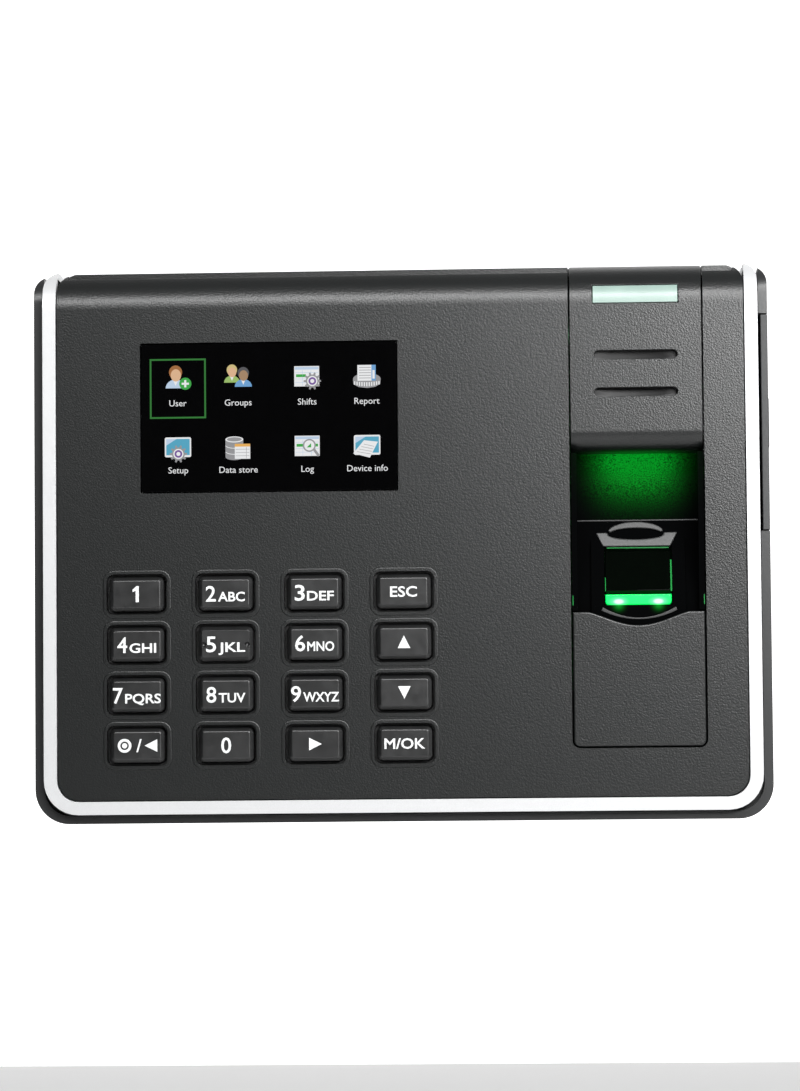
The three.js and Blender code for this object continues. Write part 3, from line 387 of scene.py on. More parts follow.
# ---- Finishes ------------------------------------------------------------------------------------
class Sketch:
    """A node tree being laid out for one finish."""

    def __init__(self, name: str) -> None:
        """Starts a material with its main shader and object coordinates."""
        self.material = bpy.data.materials.new(name)
        self.material.use_nodes = True
        self.tree = self.material.node_tree
        self.shader = self.tree.nodes["Principled BSDF"]
        self.place = self.node("ShaderNodeTexCoord").outputs["Object"]

    def node(self, kind: str, inputs: dict[str | int, object] | None = None,
             **settings: object) -> bpy.types.Node:
        """Adds a node.

        Args:
            kind: The node's type.
            inputs: Values or sockets for its inputs.
            **settings: Values for its own settings.

        Returns:
            The node.
        """
        made = self.tree.nodes.new(kind)
        for key, value in settings.items():
            setattr(made, key, value)
        for key, value in (inputs or {}).items():
            self._give(made.inputs[key], value)
        return made

    def _give(self, socket: Socket, value: object) -> None:
        """Links a socket to an input, or sets the input to a value."""
        if isinstance(value, Socket):
            self.tree.links.new(value, socket)
        else:
            socket.default_value = value

    def noise(self, cell: float, detail: float = 3.0) -> Socket:
        """Cloudy noise whose patches are about a cell across, from 0 to 1."""
        inputs = {"Vector": self.place, "Scale": 1 / cell, "Detail": detail}
        return self.node("ShaderNodeTexNoise", inputs).outputs[0]

    def cells(self, cell: float, feature: str = "F1") -> Socket:
        """Pebble-like cells about a cell across: the distance from their middles or edges."""
        inputs = {"Vector": self.place, "Scale": 1 / cell}
        return self.node("ShaderNodeTexVoronoi", inputs, feature=feature).outputs["Distance"]

    def ramp(self, value: Socket, stops: list[tuple[float, Colour]]) -> Socket:
        """Turns a value into a colour along a ramp of stops."""
        made = self.node("ShaderNodeValToRGB", {0: value})
        band = made.color_ramp
        while len(band.elements) < len(stops):
            band.elements.new(0.5)
        for element, (position, colour) in zip(band.elements, stops):
            element.position = position
            element.color = (*colour, 1.0)
        return made.outputs[0]

    def spread(self, value: Socket, low: float, high: float) -> Socket:
        """Maps a value from 0..1 to low..high."""
        return self.node("ShaderNodeMapRange", {0: value, 3: low, 4: high}).outputs[0]

    def mix(self, share: Socket | float, first: object, second: object) -> Socket:
        """Mixes two numbers by a share."""
        inputs = {"Factor": share, 2: first, 3: second}
        return self.node("ShaderNodeMix", inputs, data_type="FLOAT").outputs[0]

    def maths(self, operation: str, first: object, second: object = 0.0) -> Socket:
        """One step of arithmetic on numbers."""
        return self.node("ShaderNodeMath", {0: first, 1: second}, operation=operation).outputs[0]

    def fade(self, first: Socket, second: Socket, power: float,
             rate: float) -> Socket:
        """Light that halves with the sum of two distances, each raised to a power.

        Args:
            first: The distance one way.
            second: The distance the other way.
            power: The power of the first distance; the second is squared.
            rate: How fast the light fades, as a power of two.

        Returns:
            The light, 1 in the middle.
        """
        away = self.maths("ADD", self.maths("POWER", self.maths("ABSOLUTE", first), power),
                          self.maths("POWER", self.maths("ABSOLUTE", second), 2.0))
        return self.maths("POWER", 2.0, self.maths("MULTIPLY", away, -rate))

    def steps(self, value: Socket, start: float, unit: float) -> Socket:
        """How many units a value lies past a start."""
        return self.maths("DIVIDE", self.maths("SUBTRACT", value, start), unit)

    def set(self, **values: object) -> None:
        """Sets or links inputs of the main shader; underscores stand for spaces."""
        for key, value in values.items():
            self._give(self.shader.inputs[key.replace("_", " ")], value)

    def bump(self, height: Socket, depth: float) -> None:
        """Raises the surface by a height pattern of a given depth in metres."""
        made = self.node("ShaderNodeBump", {"Strength": 1.0, "Distance": depth, "Height": height})
        self.tree.links.new(made.outputs[0], self.shader.inputs["Normal"])


_MADE_MATERIALS: dict[str, bpy.types.Material] = {}


@dataclass(frozen=True)
class Finish:
    """A surface finish. Each kind lays out its own nodes."""

    name: str
    slot: str
    colour: Colour
    roughness: float = 0.5

    def material(self) -> bpy.types.Material:
        """The finish's material, made once."""
        if self.name not in _MADE_MATERIALS:
            sketch = Sketch(self.name)
            self.lay_out(sketch)
            _MADE_MATERIALS[self.name] = sketch.material
        return _MADE_MATERIALS[self.name]

    def tones(self, low: float, high: float) -> list[tuple[float, Colour]]:
        """Two ramp stops: the colour made darker and lighter."""
        dark = tuple(channel * low for channel in self.colour)
        light = tuple(min(1.0, channel * high) for channel in self.colour)
        return [(0.3, dark), (0.7, light)]

    def sheen(self, sketch: Sketch, pattern: Socket, low: float, high: float) -> Socket:
        """The roughness, made lower and higher by a pattern."""
        return sketch.spread(pattern, self.roughness * low, self.roughness * high)

    def lay_out(self, sketch: Sketch) -> None:
        """Lays out the nodes of an evenly moulded plastic with a faint mottle."""
        mottle, sheen, pore, depth = 9 * MM, 1.5 * MM, 0.4 * MM, 0.004 * MM
        sketch.set(Base_Color=sketch.ramp(sketch.noise(mottle), self.tones(0.92, 1.08)),
                   Roughness=self.sheen(sketch, sketch.noise(sheen), 0.92, 1.08))
        sketch.bump(sketch.noise(pore), depth)


@dataclass(frozen=True)
class Plain(Finish):
    """A plain matt surface, for the floor."""

    def lay_out(self, sketch: Sketch) -> None:
        """One even colour."""
        sketch.set(Base_Color=(*self.colour, 1.0), Roughness=self.roughness)


@dataclass(frozen=True)
class GrainedPlastic(Finish):
    """Moulded plastic with a fine leather grain."""

    grain: float = 0.42 * MM
    depth: float = 0.045 * MM

    def lay_out(self, sketch: Sketch) -> None:
        """Pebbles of two sizes, dark in the valleys and glossier on the crowns."""
        fine_share = 0.45
        crowns = sketch.maths("SUBTRACT", 1.0, sketch.cells(self.grain))
        height = sketch.mix(fine_share, crowns, sketch.noise(self.grain * 0.55, 2.0))
        sketch.set(Base_Color=sketch.ramp(height, self.tones(0.85, 1.15)),
                   Roughness=self.sheen(sketch, height, 1.12, 0.88))
        sketch.bump(height, self.depth)


@dataclass(frozen=True)
class GlossPlastic(Finish):
    """Polished plastic with the faint waviness of a moulding and a little dust-fine wear."""

    wave: float = 0.002 * MM
    shine: float = 0.5

    def lay_out(self, sketch: Sketch) -> None:
        """A smooth shell with slow waves and a lightly varied sheen."""
        worn, waves = 3 * MM, 5 * MM
        wear = sketch.noise(worn, 4.0)
        sketch.set(Base_Color=sketch.ramp(wear, self.tones(0.9, 1.1)),
                   Roughness=self.sheen(sketch, wear, 0.75, 1.3), Specular_IOR_Level=self.shine)
        sketch.bump(sketch.noise(waves, 1.0), self.wave)


@dataclass(frozen=True)
class SatinMetal(Finish):
    """Satin metal or metallic paint with a very fine sparkle."""

    metallic: float = 0.8

    def lay_out(self, sketch: Sketch) -> None:
        """Fine flecks in colour and roughness."""
        fleck, brushed, depth = 0.12 * MM, 1.2 * MM, 0.002 * MM
        flecks = sketch.noise(fleck, 1.0)
        sketch.set(Base_Color=sketch.ramp(flecks, self.tones(0.95, 1.05)), Metallic=self.metallic,
                   Roughness=self.sheen(sketch, sketch.noise(brushed), 0.9, 1.15))
        sketch.bump(flecks, depth)


@dataclass(frozen=True)
class PressedSteel(SatinMetal):
    """Plated sheet steel with rolling marks along X."""

    def lay_out(self, sketch: Sketch) -> None:
        """Stretched noise gives the rolling marks."""
        mark, stretch, depth = 0.25 * MM, (0.04, 1.0, 1.0), 0.004 * MM
        stretched = sketch.node("ShaderNodeMapping", {"Vector": sketch.place, "Scale": stretch})
        inputs = {"Vector": stretched.outputs[0], "Scale": 1 / mark, "Detail": 3.0}
        marks = sketch.node("ShaderNodeTexNoise", inputs).outputs[0]
        sketch.set(Base_Color=sketch.ramp(marks, self.tones(0.85, 1.1)), Metallic=self.metallic,
                   Roughness=self.sheen(sketch, marks, 0.8, 1.25))
        sketch.bump(marks, depth)


@dataclass(frozen=True)
class PowderCoat(Finish):
    """Baked powder paint with a fine orange-peel surface."""

    def lay_out(self, sketch: Sketch) -> None:
        """Rounded waves with a slow mottle of colour."""
        wave, mottle, depth = 0.7 * MM, 12 * MM, 0.03 * MM
        peel = sketch.noise(wave, 1.0)
        sketch.set(Base_Color=sketch.ramp(sketch.noise(mottle), self.tones(0.92, 1.08)),
                   Roughness=self.sheen(sketch, peel, 0.9, 1.1))
        sketch.bump(peel, depth)


@dataclass(frozen=True)
class CircuitBoard(Finish):
    """Solder mask over copper tracks."""

    copper: Colour = (0.05, 0.24, 0.09)

    def lay_out(self, sketch: Sketch) -> None:
        """Tracks as the thin borders of large cells, and pads as small dots."""
        cell, track_share, pad_cell, pad_share, depth = 5 * MM, 0.055, 2.6 * MM, 0.16, 0.03 * MM
        borders = sketch.cells(cell, "DISTANCE_TO_EDGE")
        metal = sketch.maths("MAXIMUM", sketch.maths("LESS_THAN", borders, track_share),
                             sketch.maths("LESS_THAN", sketch.cells(pad_cell), pad_share))
        sketch.set(Base_Color=sketch.ramp(metal, [(0.0, self.colour), (1.0, self.copper)]),
                   Roughness=self.sheen(sketch, sketch.noise(2 * MM), 0.8, 1.2))
        sketch.bump(metal, depth)


@dataclass(frozen=True)
class LitLens(Finish):
    """Milky plastic lit softly from behind."""

    strength: float = 0.4

    def lay_out(self, sketch: Sketch) -> None:
        """A soft cloud of light over the whole lens."""
        cloud = sketch.ramp(sketch.noise(7 * MM, 1.0), self.tones(0.94, 1.06))
        sketch.set(Base_Color=cloud, Roughness=sketch.spread(sketch.noise(2 * MM), 0.25, 0.35),
                   Emission_Color=cloud, Emission_Strength=self.strength)


@dataclass(frozen=True)
class PaintedGlowWall(GlossPlastic):
    """Black plastic with painted light: the sensor's green light that falls on it is painted in as a
    soft patch that glows.
    """

    painted_glow: Colour = (0.001, 0.31, 0.016)
    centre: Span = (0.0, 0.0)
    reach: Span = (12.5 * MM, 11.5 * MM)
    floor: float = 0.0
    painted_glints: tuple[Span, ...] = ()
    spot: float = 1.1 * MM

    def lay_out(self, sketch: Sketch) -> None:
        """A painted half-round patch of speckled light that fades sideways and downwards, and painted
        glints under the lamps.
        """
        patch_fade, spot_fade = 3.4, 1.5
        x, _, z = sketch.node("ShaderNodeSeparateXYZ", {0: sketch.place}).outputs
        patch = sketch.fade(sketch.steps(x, self.centre[0], self.reach[0]),
                            sketch.steps(z, self.centre[1], self.reach[1]), 3.0, patch_fade)
        above = sketch.maths("GREATER_THAN", z, self.floor)
        speckle = sketch.spread(sketch.noise(0.26 * MM, 2.0), -1.1, 3.0)
        light = sketch.maths("MULTIPLY", sketch.maths("MULTIPLY", patch, above), speckle)
        # Painted glints: a small pool of the light bar's green light on the wall below each lamp.
        for across, height in self.painted_glints:
            spot = sketch.fade(sketch.steps(x, across, self.spot),
                               sketch.steps(z, height, self.spot), 2.0, spot_fade)
            light = sketch.maths("ADD", light, spot)
        sketch.set(Base_Color=(*self.colour, 1.0), Specular_IOR_Level=self.shine,
                   Roughness=self.sheen(sketch, sketch.noise(3 * MM), 0.85, 1.15),
                   Emission_Color=sketch.ramp(light, [(0.0, (0.0, 0.0, 0.0)), (1.0, self.painted_glow)]),
                   Emission_Strength=1.0)
        sketch.bump(sketch.noise(0.3 * MM), 0.008 * MM)


@dataclass(frozen=True)
class LightGuide(Finish):
    """A clear strip lit by lamps behind it: white hot at each lamp."""

    lamps: tuple[float, ...] = ()
    height: float = 0.0
    spot: float = 1.7 * MM

    def lay_out(self, sketch: Sketch) -> None:
        """Green light that turns white over each lamp."""
        lamp_fade, halo, core = 1.6, (0.16, 1.0, 0.35), (0.97, 1.0, 0.98)
        x, _, z = sketch.node("ShaderNodeSeparateXYZ", {0: sketch.place}).outputs
        drop = sketch.steps(z, self.height, self.spot * 0.5)
        glare: object = 0.0
        for lamp in self.lamps:
            spot = sketch.fade(sketch.steps(x, lamp, self.spot), drop, 2.0, lamp_fade)
            glare = sketch.maths("ADD", glare, spot)
        light = sketch.ramp(glare, [(0.05, self.colour), (0.45, halo), (0.8, core)])
        sketch.set(Base_Color=(*self.colour, 1.0), Roughness=self.roughness, Emission_Color=light,
                   Emission_Strength=0.95)


@dataclass(frozen=True)
class InkAndGlow(Finish):
    """One flat colour that also glows, with the faint pattern of its dots: print, painted light such
    as the window's edges, and the evenly lit backdrop.
    """

    strength: float = 0.9

    def dots(self, sketch: Sketch, vary: float) -> Socket:
        """The colour, varied a little by fine dots."""
        return sketch.ramp(sketch.noise(0.06 * MM, 0.0), self.tones(1 - vary, 1 + vary))

    def lay_out(self, sketch: Sketch) -> None:
        """Fine dots vary the colour a little."""
        dots = self.dots(sketch, 0.03)
        # The colour is also given off as light: a faint painted glow on the print and painted light on
        # the window's edges.
        sketch.set(Base_Color=dots, Roughness=self.roughness, Emission_Color=dots,
                   Emission_Strength=self.strength)


@dataclass(frozen=True)
class ScreenLight(InkAndGlow):
    """One colour of the lit display: it gives light and reflects almost none."""

    def lay_out(self, sketch: Sketch) -> None:
        """Fine dots vary the light a little."""
        sketch.set(Base_Color=(0.0, 0.0, 0.0, 1.0), Roughness=self.roughness,
                   Emission_Color=self.dots(sketch, 0.04), Emission_Strength=self.strength,
                   Specular_IOR_Level=0.1)


GRAINED = GrainedPlastic("grained_black_plastic", "grained_black", (0.0026, 0.0033, 0.0033), 0.33,
                         0.46 * MM, 0.052 * MM)
CASE_BLACK = GrainedPlastic("case_black_plastic", "satin_black", (0.011, 0.0115, 0.012), 0.36,
                            0.6 * MM, 0.012 * MM)
SILVER = SatinMetal("silver_trim_satin", "silver_trim", (0.52, 0.525, 0.53), 0.36, 0.3)
KEY_BLACK = GlossPlastic("key_black_gloss", "key_black", (0.0038, 0.0040, 0.0042), 0.36,
                         0.001 * MM, 0.6)
SCREEN_BLACK = GlossPlastic("screen_window_gloss", "screen_gloss", (0.0006, 0.0006, 0.0007), 0.08,
                            shine=0.12)
# The keys' white print; its small emission paints a faint glow onto it.
PRINT_WHITE = InkAndGlow("legend_white_print", "white_print", (0.55, 0.56, 0.56), 0.5, 0.03)
MINT = LitLens("mint_lens_milky", "mint_lens", (0.19, 0.265, 0.235), 0.3, 0.10)
# The bay's black plastic, made darker still as painted shade for the deep recess.
BAY_BLACK_AND_SHADE = (0.0012, 0.0013, 0.0014)
# The window surround's grey plastic, made pale to paint in the highlight that its upward slope
# catches.
SURROUND_GREY_AND_HIGHLIGHT = GrainedPlastic("surround_grey_satin", "grey_plastic", (0.045, 0.046, 0.046), 0.4,
                               0.5 * MM, 0.014 * MM)
# Painted highlights: grey plastic standing in for the thin lines of light on the notch's arch, the
# ledge edge and the foot ridge.
PAINTED_HIGHLIGHT_GREY = GrainedPlastic("ridge_grey_satin", "grey_plastic", (0.014, 0.0145, 0.0145), 0.4,
                            0.5 * MM, 0.014 * MM)
PLATE_PAINT = PowderCoat("wall_plate_paint", "plate_paint", (0.035, 0.036, 0.038), 0.45)
STEEL = PressedSteel("plated_steel", "sheet_steel", (0.62, 0.63, 0.64), 0.3, 1.0)
RUBBER = GrainedPlastic("black_rubber", "black_rubber", (0.021, 0.022, 0.023), 0.55,
                        0.5 * MM, 0.01 * MM)
BOARD_GREEN = CircuitBoard("circuit_board_mask", "circuit_board", (0.012, 0.10, 0.035), 0.4)
GREY_PLASTIC = Finish("grey_connector_plastic", "grey_plastic", (0.36, 0.37, 0.36), 0.5)
INNER_BLACK = Finish("inner_black_plastic", "satin_black", (0.008, 0.008, 0.0085), 0.5)
FILM = Finish("ribbon_amber_film", "ribbon_film", (0.50, 0.33, 0.10), 0.3)
PRISM = GlossPlastic("optical_window_glass", "prism_glass", (0.0003, 0.0009, 0.0004), 0.12,
                     shine=0.05)
# Painted light: the green glow along the window's edges and the glints on the bay walls beside it.
EDGE_LIGHT = InkAndGlow("window_edge_green", "prism_glass", (0.0, 0.17, 0.025), 0.3, 0.8)
CONTACT = SatinMetal("gold_contacts", "sheet_steel", (0.83, 0.62, 0.27), 0.25, 1.0)
FLOOR = Plain("floor_pale", "plate_paint", (0.72, 0.72, 0.72), 0.9)
BACKDROP = InkAndGlow("backdrop_white", "plate_paint", (1.0, 1.0, 1.0), 0.9, 1.0)
DISPLAY_GLASS = GlossPlastic("display_dark_glass", "display_glass", (0.01, 0.011, 0.013), 0.08)


# ---- Case ----------------------------------------------------------------------------------------
@dataclass(frozen=True)
class CaseSize:
    """Sizes of the case that its packed boxes don't give."""

    wall: float = 2.2 * MM
    top_roll: float = 10.0 * MM
    trim_roll: float = 10.7 * MM
    corner: float = 8.5 * MM
    top_corner: float = 5.0 * MM
    trim_width: float = 3.2 * MM
    trim_bar: float = 3.2 * MM
    trim_core: float = 2.3 * MM
    fit: float = 0.3 * MM
    seam: float = 0.35 * MM
    below_trim: float = 0.5 * MM
    boss_radius: float = 3.2 * MM
    boss_hole: float = 1.6 * MM
    boss_to_board: float = 5.3 * MM
    panel_flange: float = 1.9 * MM
    panel_corner: float = 1.6 * MM
    flange_front: float = -31.2 * MM
    flange_back: float = -29.2 * MM
    flange_drop: float = 1.2 * MM
    top_shell_back: float = -20.5 * MM
    screen_corner: float = 0.5 * MM
    screen_flare: float = 0.45 * MM
    key_lip: float = 0.9 * MM
    key_lip_height: float = 0.28 * MM
    column_strip: float = 3.0 * MM

    @property
    def inner_corner(self) -> float:
        """The radius of the cover's lower corners, inside the trim."""
        return self.corner - self.trim_width


def profile_rolled(front: float, back: float, low: float, high: float, roll: float,
                   steps: int = 14) -> list[Span]:
    """Gives the side outline of a block whose upper front edge is rolled over.

    Args:
        front: Y of its front.
        back: Y of its back.
        low: Z of its lower side.
        high: Z of its top.
        roll: The radius of the rolled edge.
        steps: How many flats make up the roll.

    Returns:
        The outline's corners as (Y, Z).
    """
    corners = [(back, low), (front, low)]
    for step in range(steps + 1):
        turn = math.pi / 2 * step / steps
        corners.append((front + roll * (1 - math.cos(turn)), high - roll * (1 - math.sin(turn))))
    corners.append((back, high))
    return corners


class FrontCover:
    """Grained front shell: rolled at the top, with openings for the screen, keys and column."""

    def __init__(self, size: CaseSize, keys: "KeyGrid") -> None:
        """Reads the places of the cover and of what shows through it."""
        self.size = size
        self.keys = keys
        self.box = Box.of("front_cover")
        self.front = self.box.low.y

    def build(self) -> Piece:
        """Builds the shell.

        Returns:
            The finished cover.
        """
        size, front, wall, trim = self.size, self.front, self.size.wall, Box.of("trim_frame")
        top = trim.high.z - size.below_trim
        half = trim.high.x - size.trim_width - size.fit
        bottom = trim.low.z + size.trim_width + size.fit
        outer = profile_rolled(front, size.top_shell_back, bottom, top, size.top_roll)
        inner = profile_rolled(front + wall, 0.0, bottom + wall, top - wall, size.top_roll - wall)
        shell = Workpiece("front_cover_skin", bar(Axis.X, outer, -half, half))
        shell.keep_common(slab((-half, half), (front - MM, 0.0), (bottom, top), size.inner_corner,
                               size.top_corner))
        shell.cut(bar(Axis.X, inner, -half + wall, half - wall))
        shell.join(slab(trim.span(Axis.X), (size.flange_front, size.flange_back),
                        (trim.low.z, top - wall - size.flange_drop), size.corner, 0.0))
        shell.cut(slab((-half + wall, half - wall), (size.flange_front - MM, size.flange_back + MM),
                       (bottom + wall, FAR), size.inner_corner - wall, 0.0))
        self._open_screen(shell)
        self._open_column(shell)
        self._open_keys(shell)
        self._add_bosses(shell)
        return shell.done(GRAINED, EdgeRound(0.3 * MM, 2, 35))

    def _add_bosses(self, shell: Workpiece) -> None:
        """Adds the bosses inside, which the case screws turn into."""
        size, sunk = self.size, 0.5 * MM
        start = self.front + size.wall - sunk
        end = Box.of("main_board").low.y - size.boss_to_board
        for number in range(1, 5):
            screw = Box.of(f"case_screw_{number}").centre
            middle = Vector((screw.x, (start + end) / 2, screw.z))
            shell.join(rod(middle, size.boss_radius, end - start, 20))
            shell.cut(rod(middle + Vector((0, MM, 0)), size.boss_hole, end - start, 16))

    def _open_screen(self, shell: Workpiece) -> None:
        """Cuts the screen's opening with a little chamfer round its mouth."""
        window, front, size = Box.of("screen_window"), self.front, self.size
        x, z = window.span(Axis.X, size.fit), window.span(Axis.Z, size.fit)
        shell.cut(slab(x, (front - MM, front + 4 * MM), z, size.screen_corner))
        shell.cut(self._funnel(x, z, size.screen_flare))

    def _funnel(self, x: Span, z: Span, flare: float) -> Solid:
        """A tool that chamfers the mouth of an opening in the front."""
        tool = block((x[0] - flare, x[1] + flare), (self.front - flare, self.front + flare),
                     (z[0] - flare, z[1] + flare))
        for vert in tool.verts:
            if vert.co.y > self.front:
                vert.co.x += flare * 2 if vert.co.x < sum(x) / 2 else -flare * 2
                vert.co.z += flare * 2 if vert.co.z < sum(z) / 2 else -flare * 2
        return tool

    def _open_column(self, shell: Workpiece) -> None:
        """Cuts the sensor column's opening, up and over the rolled top."""
        size, panel = self.size, Box.of("lower_panel")
        shell.cut(slab(Box.of("sensor_fascia").span(Axis.X, size.seam),
                       (-FAR, size.top_shell_back - size.column_strip),
                       (panel.low.z + size.panel_flange - size.seam, FAR),
                       size.panel_corner + size.seam, 0.0))

    def _open_keys(self, shell: Workpiece) -> None:
        """Cuts a hole with a raised lip for each key."""
        gap, front = self.keys.clearance, self.front
        lips, holes = [], []
        for box in self.keys.boxes.values():
            cap = self.keys.cap(box)
            lips.append(self._lip(cap, gap + self.size.key_lip))
            holes.append(slab(cap.span(Axis.X, gap), (front - 2 * MM, front + 2.5 * MM),
                              cap.span(Axis.Z, gap), self.keys.hole_corner, segments=5))
        shell.join(merged(lips))
        shell.cut(merged(holes))

    def _lip(self, cap: Box, reach: float) -> Solid:
        """A low raised frame round one key, sloping outwards."""
        high, root = self.size.key_lip_height, 0.6 * MM
        lip = slab(cap.span(Axis.X, reach), (self.front - high, self.front + root),
                   cap.span(Axis.Z, reach), self.keys.hole_corner + self.size.key_lip, segments=5)
        round_off(lip, front_rim(lip, self.front - high), high * 0.9, 2)
        return lip


class TrimFrame:
    """Silver trim: a rounded frame on the front that closes over the rolled top."""

    def __init__(self, size: CaseSize) -> None:
        """Reads the trim's place."""
        self.size = size
        self.box = Box.of("trim_frame")

    def build(self) -> Piece:
        """Builds the trim.

        Returns:
            The finished trim.
        """
        size, box = self.size, self.box
        half, front, back = box.high.x, box.low.y, box.high.y
        inner, low, top = half - size.trim_width, box.low.z, box.high.z
        profile = profile_rolled(front, back, low, top, size.trim_roll)
        trim = Workpiece("trim_frame_skin", bar(Axis.X, profile, -half, half))
        trim.keep_common(slab((-half, half), (front - MM, 0.0), (low, top), size.corner,
                              size.top_corner))
        trim.cut(slab((-inner, inner), (-FAR, back - size.trim_bar), (low + size.trim_width, FAR),
                      size.inner_corner, 0.0))
        trim.cut(block((-FAR, FAR), (size.flange_front - size.fit, FAR), (-FAR, top - size.trim_core)))
        return trim.done(SILVER, EdgeRound(0.85 * MM, 4, 40))


class RearCase:
    """Black rear shell, whose rim shows outside the trim, with its bosses and openings."""

    def build(self) -> Piece:
        """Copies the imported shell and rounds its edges.

        Returns:
            The finished rear case.
        """
        shell = Workpiece("rear_case_skin", welded_copy("rear_case"))
        return shell.done(CASE_BLACK, EdgeRound(0.35 * MM, 2, 40))


# ---- Keys ----------------------------------------------------------------------------------------
def lettering(words: str, height: float, weight: float, thick: float,
              width: float | None = None) -> Solid:
    """Makes upright letters that face the front, starting at X = 0 on the line Z = 0.

    Args:
        words: What they spell.
        height: The height of a capital.
        weight: How much each stroke is thickened on each side.
        thick: The thickness of the letters, half of it before Y = 0.
        width: The width of the whole, when it is set.

    Returns:
        The letters as a bmesh.
    """
    capital_share = 0.727
    curve = bpy.data.curves.new("words", "FONT")
    curve.body = words
    curve.size = height / capital_share
    curve.offset = weight
    curve.extrude = thick / 2
    curve.resolution_u = 3
    written = bpy.data.objects.new("words", curve)
    bpy.context.scene.collection.objects.link(written)
    bpy.context.view_layer.update()
    depsgraph = bpy.context.evaluated_depsgraph_get()
    mesh = bpy.data.meshes.new_from_object(written.evaluated_get(depsgraph))
    solid = bmesh.new()
    solid.from_mesh(mesh)
    bpy.data.objects.remove(written)
    bpy.data.curves.remove(curve)
    bpy.data.meshes.remove(mesh)
    bmesh.ops.remove_doubles(solid, verts=solid.verts, dist=0.0005 * MM)
    bmesh.ops.rotate(solid, matrix=Matrix.Rotation(math.pi / 2, 3, "X"), verts=solid.verts)
    start, end = reach_of(solid)
    bmesh.ops.translate(solid, vec=(-start, 0, 0), verts=solid.verts)
    if width is not None:
        bmesh.ops.scale(solid, vec=(width / (end - start), 1, 1), verts=solid.verts)
    return solid


def reach_of(solid: Solid) -> tuple[float, float]:
    """The lowest and highest X of a solid."""
    places = [vert.co.x for vert in solid.verts]
    return min(places), max(places)


def moved(solid: Solid, x: float = 0.0, y: float = 0.0, z: float = 0.0) -> Solid:
    """Shifts a solid and gives it back."""
    bmesh.ops.translate(solid, vec=(x, y, z), verts=solid.verts)
    return solid


def centred(solid: Solid, x: float, y: float, z: float) -> Solid:
    """Shifts a solid so that its middle in X is at a place."""
    start, end = reach_of(solid)
    return moved(solid, x - (start + end) / 2, y, z)


def turned(points: list[Span], angle: float) -> list[Span]:
    """Turns points of a plane about its origin, by an angle in radians."""
    return [(a * math.cos(angle) - b * math.sin(angle), a * math.sin(angle) + b * math.cos(angle))
            for a, b in points]


class Point(Enum):
    """Where an arrow on a key points."""

    UP = 90
    DOWN = -90
    LEFT = 180
    RIGHT = 0


@dataclass(frozen=True)
class LegendSize:
    """Sizes of the print on the keys."""

    digit: float = 3.95 * MM
    digit_width: float = 2.45 * MM
    letter: float = 2.36 * MM
    letter_pitch: float = 2.2 * MM
    gap: float = 0.55 * MM
    word: float = 2.6 * MM
    weight: float = 0.06 * MM
    arrow: float = 3.1 * MM
    thick: float = 0.06 * MM
    line: float = 0.65 * MM
    ring: float = 1.7 * MM


class Legend:
    """The print on one key."""

    def __init__(self, size: LegendSize, x: float, y: float, z: float) -> None:
        """Notes the middle of the key's face."""
        self.size, self.x, self.y, self.z = size, x, y, z
        self.solids: list[Solid] = []

    def digit(self, digit: str, letters: str = "") -> None:
        """Prints a large digit and, beside it, its small letters."""
        size = self.size
        small = len(letters) * size.letter_pitch
        whole = size.digit_width + (size.gap + small if letters else 0.0)
        start, base = self.x - whole / 2, self.z - size.digit / 2
        if digit == "1":
            self._one(start, base)
        else:
            figure = lettering(digit, size.digit, size.weight, size.thick, size.digit_width)
            self.solids.append(moved(figure, start, self.y, base))
        if letters:
            group = lettering(letters, size.letter, size.weight, size.thick, small)
            self.solids.append(moved(group, start + size.digit_width + size.gap, self.y, base))

    def _shape(self, corners: list[Span], x: float, z: float) -> None:
        """Prints a polygon, its origin at a place."""
        half = self.size.thick / 2
        self.solids.append(bar(Axis.Y, [(x + a, z + b) for a, b in corners],
                               self.y - half, self.y + half))

    def _one(self, start: float, base: float) -> None:
        """Prints the digit 1 with a flag at its head."""
        high, stem, flag = self.size.digit, 0.78 * MM, 0.75 * MM
        self._shape([(0.0, 0.0), (stem, 0.0), (stem, high), (stem * 0.3, high),
                     (-flag, high - 0.85 * MM), (-flag, high - 1.5 * MM), (0.0, high - 1.1 * MM)],
                    start + self.size.digit_width * 0.42, base)

    def word(self, word: str, width: float) -> None:
        """Prints a short word across the key."""
        solid = lettering(word, self.size.word, self.size.weight, self.size.thick, width)
        self.solids.append(centred(solid, self.x, self.y, self.z - self.size.word / 2))

    def arrow(self, points: Point, x: float = 0.0) -> None:
        """Prints a triangle that points one way."""
        half = self.size.arrow / 2
        corners = [(half, 0.0), (-half, half), (-half, -half)]
        self._shape(turned(corners, math.radians(points.value)), self.x + x, self.z)

    def target(self, x: float) -> None:
        """Prints a ring with a dot in it."""
        size = self.size
        middle = Vector((self.x + x, self.y, self.z))
        outer, inner = (rod(middle, radius, size.thick * 2, 32)
                        for radius in (size.ring, size.ring - size.line))
        ring = Workpiece("ring", outer).cut(inner).taken()
        bmesh.ops.scale(ring, vec=(1, 0.5, 1), space=Matrix.Translation(-middle), verts=ring.verts)
        self.solids.append(ring)
        self.solids.append(rod(middle, size.line, size.thick, 20))

    def slash(self, x: float) -> None:
        """Prints a slanting line."""
        half, lean, high = self.size.line * 0.33, 0.45 * MM, 1.6 * MM
        corners = [(side * half + rise * lean, rise * high)
                   for side, rise in ((-1, -1), (1, -1), (1, 1), (-1, 1))]
        self._shape(corners, self.x + x, self.z)


